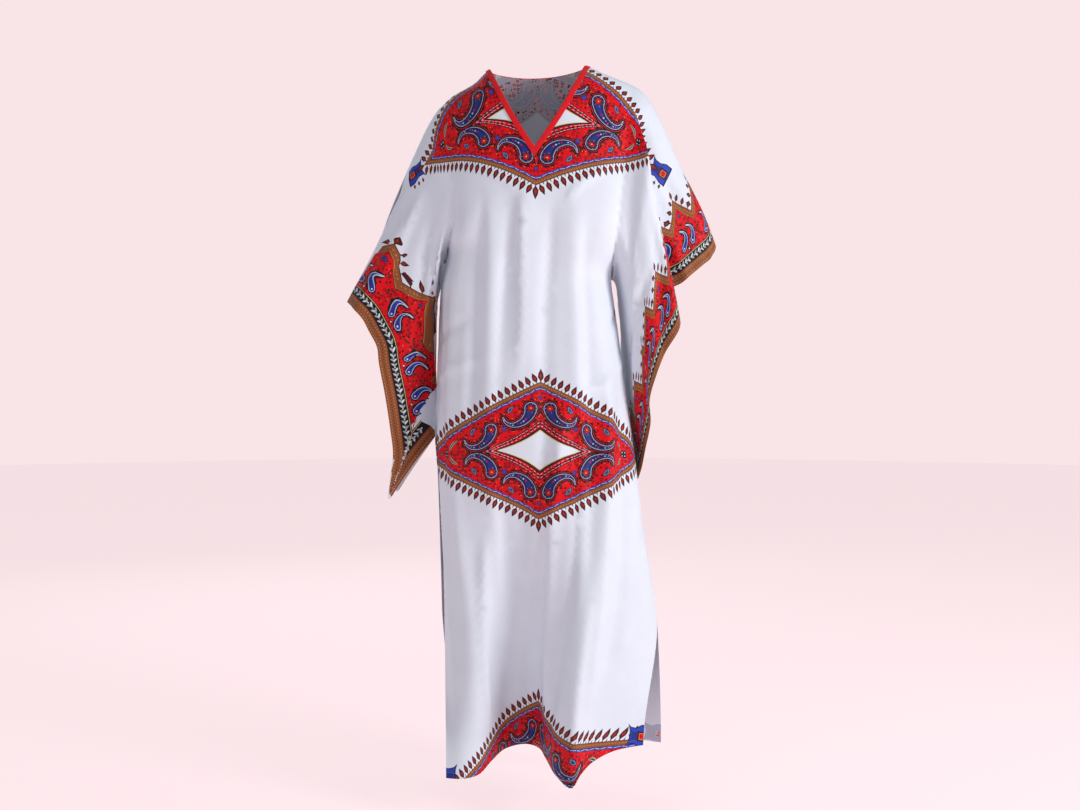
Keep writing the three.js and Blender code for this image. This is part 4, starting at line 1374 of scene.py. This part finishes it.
def printed_mesh(face, cut):
    """The face's cloth: its cut divided along every edge of the print, then put on the worn form."""
    flat, ring = cut["flat"], cut["ring"]
    chart = Chart(flat, cut["triangles"])
    layout = print_layout(face, charts_of(cut))
    outline = flat[ring]
    if twice_inside(outline) < 0:
        outline = outline[::-1]
    low, high = flat.min(axis=0), flat.max(axis=0)
    across, down = np.meshgrid(
        np.arange(low[0], high[0], MESH_STEP), np.arange(low[1], high[1], MESH_STEP)
    )
    across[::2] += MESH_STEP / 2
    spread = np.stack((across.ravel(), down.ravel()), axis=-1)
    spread = spread[chart.find(spread)[2] < ON_CLOTH]
    verts, edges = [], []
    for points in [outline] + [polygon for _, polygon in layout.polygons]:
        start, count = len(verts), len(points)
        edges += [(start + k, start + (k + 1) % count) for k in range(count)]
        verts += [Vector(p) for p in points.tolist()]
    verts += [Vector(p) for p in spread.tolist()]
    made, _, made_faces, _, _, _ = delaunay_2d_cdt(verts, edges, [], 0, CDT_NEAR, True)
    places = np.array([p[:] for p in made])
    triangles = merged(places, np.array(made_faces))
    middles = places[triangles].mean(axis=1)
    triangles = triangles[inside_of(outline, middles)]
    middles = places[triangles].mean(axis=1)
    paint = painted(layout, middles)
    inks = np.array([INKS["white"]] + [INKS[ink] for ink, _ in layout.polygons])
    used, back = np.unique(triangles, return_inverse=True)
    triangles = back.reshape(-1, 3)
    places = places[used]
    corner, weights, _ = chart.find(places)
    points = (cut["points"][corner] * weights[..., None]).sum(axis=1)
    normals = (cut["normals"][corner] * weights[..., None]).sum(axis=1)
    normals /= np.linalg.norm(normals, axis=1)[:, None]
    a, b, c = (points[triangles[:, k]] for k in range(3))
    facing = (np.cross(b - a, c - a) * normals[triangles[:, 0]]).sum(axis=1)
    if np.median(facing) < 0:
        triangles = triangles[:, ::-1]
    return points, normals, triangles, inks[paint], places


PALER = 0.62  # how far the inner side's inks are from the outer one's towards white


def new_piece(name, points, faces):
    """A smooth piece of the garment, from its points in metres."""
    mesh = bpy.data.meshes.new(name)
    mesh.from_pydata(points.tolist(), [], faces)
    mesh.shade_smooth()
    piece = bpy.data.objects.new(name, mesh)
    bpy.context.scene.collection.objects.link(piece)
    return piece


def shell(name, points, normals, triangles, colours, places, thickness):
    """A closed sheet: the printed outer skin, a paler inner one, and a rim along the edges."""
    count = len(points)
    rim, rim_owner = rim_of(triangles)
    a, b = rim.T
    rim_faces = np.concatenate(
        (np.stack((b, a, a + count), axis=-1), np.stack((b, a + count, b + count), axis=-1))
    )
    inner = points - normals * thickness
    every = np.concatenate((points, inner)) * MM
    faces = np.concatenate((triangles, triangles[:, ::-1] + count, rim_faces))
    piece = new_piece(name, every, faces.tolist())
    mesh = piece.data
    inside = lerp(colours, np.array(INKS["white"]), PALER)
    shade = np.concatenate((colours, inside, colours[rim_owner], colours[rim_owner]))
    plain = (colours != INKS["red"]).any(axis=1)
    plain = np.concatenate((plain, plain, plain[rim_owner], plain[rim_owner]))
    shade = np.concatenate((shade, plain[:, None]), axis=1)
    layer = mesh.color_attributes.new("print", "FLOAT_COLOR", "CORNER")
    layer.data.foreach_set("color", np.repeat(shade, 3, axis=0).astype(np.float32).ravel())
    uv = mesh.uv_layers.new(name="cut")
    flat = np.concatenate((places, places)) * MM
    uv.data.foreach_set("uv", flat[faces.ravel()].astype(np.float32).ravel())
    rows = np.concatenate((normals, -normals))[faces]
    side = np.cross(every[rim_faces[:, 1]] - every[rim_faces[:, 0]],
                    every[rim_faces[:, 2]] - every[rim_faces[:, 0]])
    side /= np.maximum(np.linalg.norm(side, axis=1), TINY * MM)[:, None]
    rows[-len(rim_faces):] = side[:, None]
    mesh.normals_split_custom_set(rows.reshape(-1, 3).tolist())
    return piece


# ---- Materials ----
def nodes_of(name):
    material = bpy.data.materials.new(name)
    material.use_nodes = True
    tree = material.node_tree
    return material, tree, tree.nodes["Principled BSDF"]


def add_node(tree, kind, **inputs):
    node = tree.nodes.new(kind)
    for key, value in inputs.items():
        node.inputs[key.replace("_", " ")].default_value = value
    return node


def maths(tree, operation, *values):
    """A Math node's output; each value is a number or the socket that feeds it."""
    node = tree.nodes.new("ShaderNodeMath")
    node.operation = operation
    for socket, value in zip(node.inputs, values):
        if isinstance(value, float):
            socket.default_value = value
        else:
            tree.links.new(value, socket)
    return node.outputs[0]


def noise(tree, source, scale, detail):
    node = add_node(tree, "ShaderNodeTexNoise", Scale=scale, Detail=detail)
    if source:
        tree.links.new(source, node.inputs["Vector"])
    return node.outputs["Fac"]


def ranged(tree, source, low, high):
    """A value from 0 to 1 stretched to run from low to high."""
    node = add_node(tree, "ShaderNodeMapRange", To_Min=low, To_Max=high)
    tree.links.new(source, node.inputs["Value"])
    return node.outputs["Result"]


def bumped(tree, height, strength, distance, under=None):
    """The normal of a relief, on top of the one under it."""
    node = add_node(tree, "ShaderNodeBump", Strength=strength, Distance=distance)
    tree.links.new(height, node.inputs["Height"])
    if under:
        tree.links.new(under, node.inputs["Normal"])
    return node.outputs["Normal"]


def mixed(tree, factor, a, b):
    """A blend of two colours; each is a tuple or the socket that feeds it."""
    node = tree.nodes.new("ShaderNodeMix")
    node.data_type = "RGBA"
    tree.links.new(factor, node.inputs["Factor"])
    for name, value in (("A", a), ("B", b)):
        if isinstance(value, tuple):
            node.inputs[name].default_value = (*value, 1)
        else:
            tree.links.new(value, node.inputs[name])
    return node.outputs["Result"]


def weave(tree, source, pitch):
    """Height of a plain weave of threads pitch metres apart, from flat coordinates in metres."""
    waves = []
    for axis in ("X", "Y"):
        wave = add_node(tree, "ShaderNodeTexWave", Scale=0.1 / pitch, Distortion=0.4)
        wave.bands_direction = axis
        tree.links.new(source, wave.inputs["Vector"])
        waves.append(wave.outputs["Fac"])
    return maths(tree, "MULTIPLY", *waves)


# The small rings and dots that fill the red ground, 1 cell in 8 mm: distance from the middle of
# a cell at which each begins, and how strongly it is printed.
GROUND = {
    "cells": 125.0, "scatter": 0.55, "ink": (0.07, 0.004, 0.010),
    "rings": ((0.0, 1.0), (0.15, 0.0), (0.26, 1.0), (0.40, 0.0)),
}
THREADS = 0.0009  # pitch of the weave, wider than the real one, so that it shows


def ground_rings(tree, place, red):
    """How strongly the filling of the red ground is printed. The print's alpha is 0 on the red."""
    cells = add_node(
        tree, "ShaderNodeTexVoronoi", Scale=GROUND["cells"], Randomness=GROUND["scatter"]
    )
    tree.links.new(place, cells.inputs["Vector"])
    ramp = tree.nodes.new("ShaderNodeValToRGB")
    ramp.color_ramp.interpolation = "CONSTANT"
    stops = ramp.color_ramp.elements
    stops.remove(stops[1])
    for k, (spot, value) in enumerate(GROUND["rings"]):
        stop = stops.new(spot) if k else stops[0]
        stop.color = (value, value, value, 1)
    tree.links.new(cells.outputs["Distance"], ramp.inputs["Fac"])
    return maths(tree, "MULTIPLY", maths(tree, "SUBTRACT", 1.0, red), ramp.outputs["Color"])


def cloth_material():
    """White crepe with its print, from the colours of the mesh."""
    material, tree, shader = nodes_of("printed_crepe")
    link = tree.links.new
    ink = tree.nodes.new("ShaderNodeAttribute")
    ink.attribute_name = "print"
    uv = tree.nodes.new("ShaderNodeUVMap")
    uv.uv_map = "cut"
    place = uv.outputs["UV"]
    filling = ground_rings(tree, place, ink.outputs["Alpha"])
    motif = mixed(tree, filling, ink.outputs["Color"], GROUND["ink"])
    cloud = noise(tree, place, 18.0, 4.0)
    tone = ranged(tree, cloud, 0.93, 1.05)
    speck = ranged(tree, noise(tree, place, 900.0, 2.0), 0.9, 1.08)
    scale = tree.nodes.new("ShaderNodeVectorMath")
    scale.operation = "SCALE"
    link(motif, scale.inputs[0])
    link(maths(tree, "MULTIPLY", tone, speck), scale.inputs["Scale"])
    link(scale.outputs[0], shader.inputs["Base Color"])
    link(ranged(tree, cloud, 0.46, 0.62), shader.inputs["Roughness"])
    shader.inputs["Sheen Weight"].default_value = 0.03
    shader.inputs["Sheen Roughness"].default_value = 0.4
    shader.inputs["Specular IOR Level"].default_value = 0.16
    fine = bumped(tree, weave(tree, place, THREADS), 0.16, 0.0002)
    broad = bumped(tree, noise(tree, place, 32.0, 3.0), 0.22, 0.002, fine)
    link(broad, shader.inputs["Normal"])
    return material


def thread_material(name, colour, rough, scale):
    """Twisted thread or woven tape: slanted ribs, painted shade that darkens the grooves between them,
    and a little random change of tone.
    """
    material, tree, shader = nodes_of(name)
    link = tree.links.new
    place = tree.nodes.new("ShaderNodeTexCoord").outputs["Object"]
    rib = add_node(tree, "ShaderNodeTexWave", Scale=scale, Distortion=1.2)
    rib.bands_direction = "DIAGONAL"
    link(place, rib.inputs["Vector"])
    cloud = noise(tree, place, 60.0, 3.0)
    # The colour is darkened in the grooves between the ribs, which is painted shade, and by the noise,
    # which is a random change of tone.
    share = maths(tree, "MULTIPLY_ADD", rib.outputs["Fac"], 0.5, cloud)
    dark = tuple(c * 0.72 for c in colour)
    link(mixed(tree, share, dark, colour), shader.inputs["Base Color"])
    shader.inputs["Roughness"].default_value = rough
    shader.inputs["Sheen Weight"].default_value = 0.05
    shader.inputs["Specular IOR Level"].default_value = 0.2
    link(bumped(tree, rib.outputs["Fac"], 0.5, 0.0004), shader.inputs["Normal"])
    return material


# ---- Neck binding ----
WALK_STEPS = 24  # steps by which the binding's width is measured along the cloth


def walk(face, start, way, distance):
    """The place on the body at a distance from a point, in a direction seen from the front."""
    share = np.arange(1, WALK_STEPS * 4 + 1) / WALK_STEPS
    x = start[0] + way[0] * distance * share
    z = np.minimum(start[2] + way[1] * distance * share, shoulder_z(x))
    line = np.concatenate(([start], face.on_body(x, z)))
    reach = reach_of(line)
    return np.array([np.interp(distance, reach, values) for values in line.T])


def binding_half(face, side, count):
    """Inner and outer edge of the binding along half of a face's neck."""
    out = 1 if side else -1
    neck = face.neck[side]
    start = neck(0.0)
    width = BINDING["width"]
    outward = np.array([out * width, shoulder_z(start[0] + out * width) - start[2]])
    outward /= np.linalg.norm(outward)
    rows = []
    for share in np.linspace(0, 1, count + 1):
        before, after = neck(share - BINDING["feel"]), neck(share + BINDING["feel"])
        across = np.array([before[2] - after[2], after[0] - before[0]])
        across /= np.linalg.norm(across)
        if across[1] > 0:
            across = -across
        way = lerp(outward, across, ease(0, BINDING["turned"], share))
        reach = width
        if face.is_front and share == 1:
            way, reach = np.array([0.0, -1.0]), width / abs(across[1])
        edge = neck(share)
        rows.append((edge, walk(face, edge, way / np.linalg.norm(way), reach)))
    return rows


# Section of the binding: share of its width, and height over the cloth as a share of its thickness.
BINDING_SECTION = (
    (0.0, 0.0), (-0.03, 0.35), (0.0, 0.78), (0.08, 1.0), (0.3, 1.06), (0.55, 1.05), (0.78, 0.98),
    (0.9, 0.82), (0.97, 0.9), (1.0, 0.5), (1.0, 0.0), (0.5, 0.0),
)


BINDING_STEPS = (60, 36)  # along half the neck, in front and behind


def binding_piece():
    """The binding as one closed tube round the neck, and its length."""
    front, back = (
        [binding_half(face, side, steps) for side in (0, 1)]
        for face, steps in zip(FACES, BINDING_STEPS)
    )
    ring = [*front[0][:0:-1], *back[0][:-1], *back[1][:0:-1], *front[1][:-1]]
    count, section = len(ring), len(BINDING_SECTION)
    points = []
    for k, (edge, outer) in enumerate(ring):
        run = ring[(k + 1) % count][0] - ring[k - 1][0]
        normal = np.cross(run, outer - edge)
        normal /= np.linalg.norm(normal)
        for share, height in BINDING_SECTION:
            lift = BINDING["lift"] * 0.4 + (BINDING["thickness"] + BINDING["lift"] * 0.6) * height
            points.append(lerp(edge, outer, share) + normal * lift)
    faces = []
    for k in range(count):
        for m in range(section):
            n = (m + 1) % section
            far = (k + 1) % count
            faces.append((k * section + m, far * section + m, far * section + n, k * section + n))
    length = sum(
        np.linalg.norm(ring[k][0] - ring[k - 1][0] + ring[k][1] - ring[k - 1][1]) / 2
        for k in range(count)
    )
    return new_piece("neck_binding_tape", np.array(points) * MM, faces), length


# ---- Sewing ----
# top and side are heights over the cloth, and inset is the distance from the edge.
STITCH = {"pitch": 3.4, "length": 2.5, "width": 0.55, "top": 0.4, "side": 0.08, "inset": 11.0}


def stitches(name, paths):
    """Rows of short raised stitches along paths of (point, normal)."""
    points, faces = [], []
    for line, normals in paths:
        reach = reach_of(line)
        for middle in np.arange(STITCH["pitch"] / 2, reach[-1], STITCH["pitch"]):
            spots = [middle - STITCH["length"] / 2, middle, middle + STITCH["length"] / 2]
            a, m, b = (np.array([np.interp(s, reach, v) for v in line.T]) for s in spots)
            up = np.array([np.interp(middle, reach, v) for v in normals.T])
            up /= np.linalg.norm(up)
            off = np.cross(b - a, up)
            off *= STITCH["width"] / 2 / max(np.linalg.norm(off), 1e-9)
            top = m + up * STITCH["top"]
            k = len(points)
            points += [a, b, m + off + up * STITCH["side"], m - off + up * STITCH["side"], top]
            faces += [(k, k + 2, k + 4), (k + 2, k + 1, k + 4), (k + 1, k + 3, k + 4),
                      (k + 3, k, k + 4), (k, k + 3, k + 2), (k + 1, k + 2, k + 3)]
    return new_piece(name, np.array(points) * MM, faces)


def hem_paths(cut):
    """Lines one hem's width in from the hem and the cuffs."""
    points, normals, ids = cut["points"], cut["normals"], cut["ids"]

    def inset(rows):
        lines, ups = [], []
        for row in rows:
            reach = reach_of(points[row])
            at = min(STITCH["inset"], reach[-1])
            lines.append([np.interp(at, reach, v) for v in points[row].T])
            ups.append([np.interp(at, reach, v) for v in normals[row].T])
        return np.array(lines), np.array(ups)

    paths = []
    for side in (0, 1):
        paths.append(inset(ids[2 * side][::-1].T))
        paths.append(inset(ids[2 * side + 1][:, ::-1]))
    return paths


# ---- Building ----
def finish_piece(piece, material):
    """Gives a piece its material and the body that it moves with."""
    piece.data.materials.append(material)
    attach(piece, "root")


printed = cloth_material()
tape = thread_material("bias_tape", (0.74, 0.008, 0.014), rough=0.7, scale=160)
thread = thread_material("hem_thread", (0.7, 0.7, 0.72), rough=0.6, scale=400)
for face in FACES:
    cut = cut_cloth(face)
    points, normals, triangles, colours, places = printed_mesh(face, cut)
    cloth = shell(face.name + "_cloth", points, normals, triangles, colours, places, CLOTH)
    finish_piece(cloth, printed)
    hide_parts(face.name)
    sewing = stitches(face.name + "_hem_stitches", hem_paths(cut))
    finish_piece(sewing, thread)

binding, binding_length = binding_piece()
finish_piece(binding, tape)
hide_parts("neck_binding")


# ---- Floor, light and camera ----
FLOOR = {"z": -1.49, "radius": 14}
PAPER = (0.95, 0.775, 0.80)  # colour of the backdrop and, by its glow, of the floor
SKY = {"colour": (0.88, 0.93, 1.0), "strength": 0.4}  # light from all round
AIM = (0.02, 0, -0.7)
SOFTBOXES = rows_of(
    "name place size power colour",
    ("key", (2.9, -1.7, 0.2), 1.1, 78, (0.97, 0.985, 1.0)),
    ("fill", (-2.6, -2.4, -0.2), 2.2, 9, (0.9, 0.94, 1.0)),
    ("rim", (-1.0, 2.6, 0.8), 2.0, 22, (0.95, 0.97, 1.0)),
)
CAMERA = {"place": (0.007, -2.2, -0.689), "focal": 1070, "frame": 1080, "sensor": 36}


def floor():
    bpy.ops.mesh.primitive_circle_add(
        vertices=96, radius=FLOOR["radius"], fill_type="NGON", location=(0, 0, FLOOR["z"])
    )
    piece = bpy.context.object
    piece.name = "floor"
    material, tree, shader = nodes_of("paper")
    rough = ranged(tree, noise(tree, None, 1.2, 2.0), 0.8, 0.9)
    tree.links.new(rough, shader.inputs["Roughness"])
    shader.inputs["Base Color"].default_value = (0.34, 0.27, 0.28, 1)
    shader.inputs["Emission Color"].default_value = (*PAPER, 1)
    shader.inputs["Emission Strength"].default_value = 0.83
    shader.inputs["Specular IOR Level"].default_value = 0.0
    piece.data.materials.append(material)


def softbox(name, place, size, power, colour):
    light = bpy.data.lights.new(name, "AREA")
    light.shape = "SQUARE"
    light.size = size
    light.energy = power
    light.color = colour
    box = bpy.data.objects.new(name, light)
    box.location = place
    box.rotation_euler = (Vector(AIM) - Vector(place)).to_track_quat("-Z", "Y").to_euler()
    bpy.context.scene.collection.objects.link(box)


def studio():
    """Soft lights, a backdrop that only the camera sees, and the camera itself."""
    scene = bpy.context.scene
    world = bpy.data.worlds.new("studio")
    world.use_nodes = True
    tree = world.node_tree
    sky = tree.nodes["Background"]
    sky.inputs["Color"].default_value = (*SKY["colour"], 1)
    sky.inputs["Strength"].default_value = SKY["strength"]
    paper = add_node(tree, "ShaderNodeBackground", Strength=1.0)
    paper.inputs["Color"].default_value = (*PAPER, 1)
    seen = tree.nodes.new("ShaderNodeLightPath")
    either = tree.nodes.new("ShaderNodeMixShader")
    tree.links.new(seen.outputs["Is Camera Ray"], either.inputs["Fac"])
    tree.links.new(sky.outputs[0], either.inputs[1])
    tree.links.new(paper.outputs[0], either.inputs[2])
    tree.links.new(either.outputs[0], tree.nodes["World Output"].inputs["Surface"])
    scene.world = world
    scene.view_settings.view_transform = "Standard"
    for row in SOFTBOXES:
        softbox(**row)

    lens = bpy.data.cameras.new("view")
    lens.sensor_fit = "HORIZONTAL"
    lens.sensor_width = CAMERA["sensor"]
    lens.lens = CAMERA["sensor"] * CAMERA["focal"] / CAMERA["frame"]
    lens.clip_start = 0.05
    lens.clip_end = 60
    camera = bpy.data.objects.new("view", lens)
    camera.location = CAMERA["place"]
    camera.rotation_euler = (math.pi / 2, 0, 0)
    scene.collection.objects.link(camera)
    scene.camera = camera


floor()
studio()
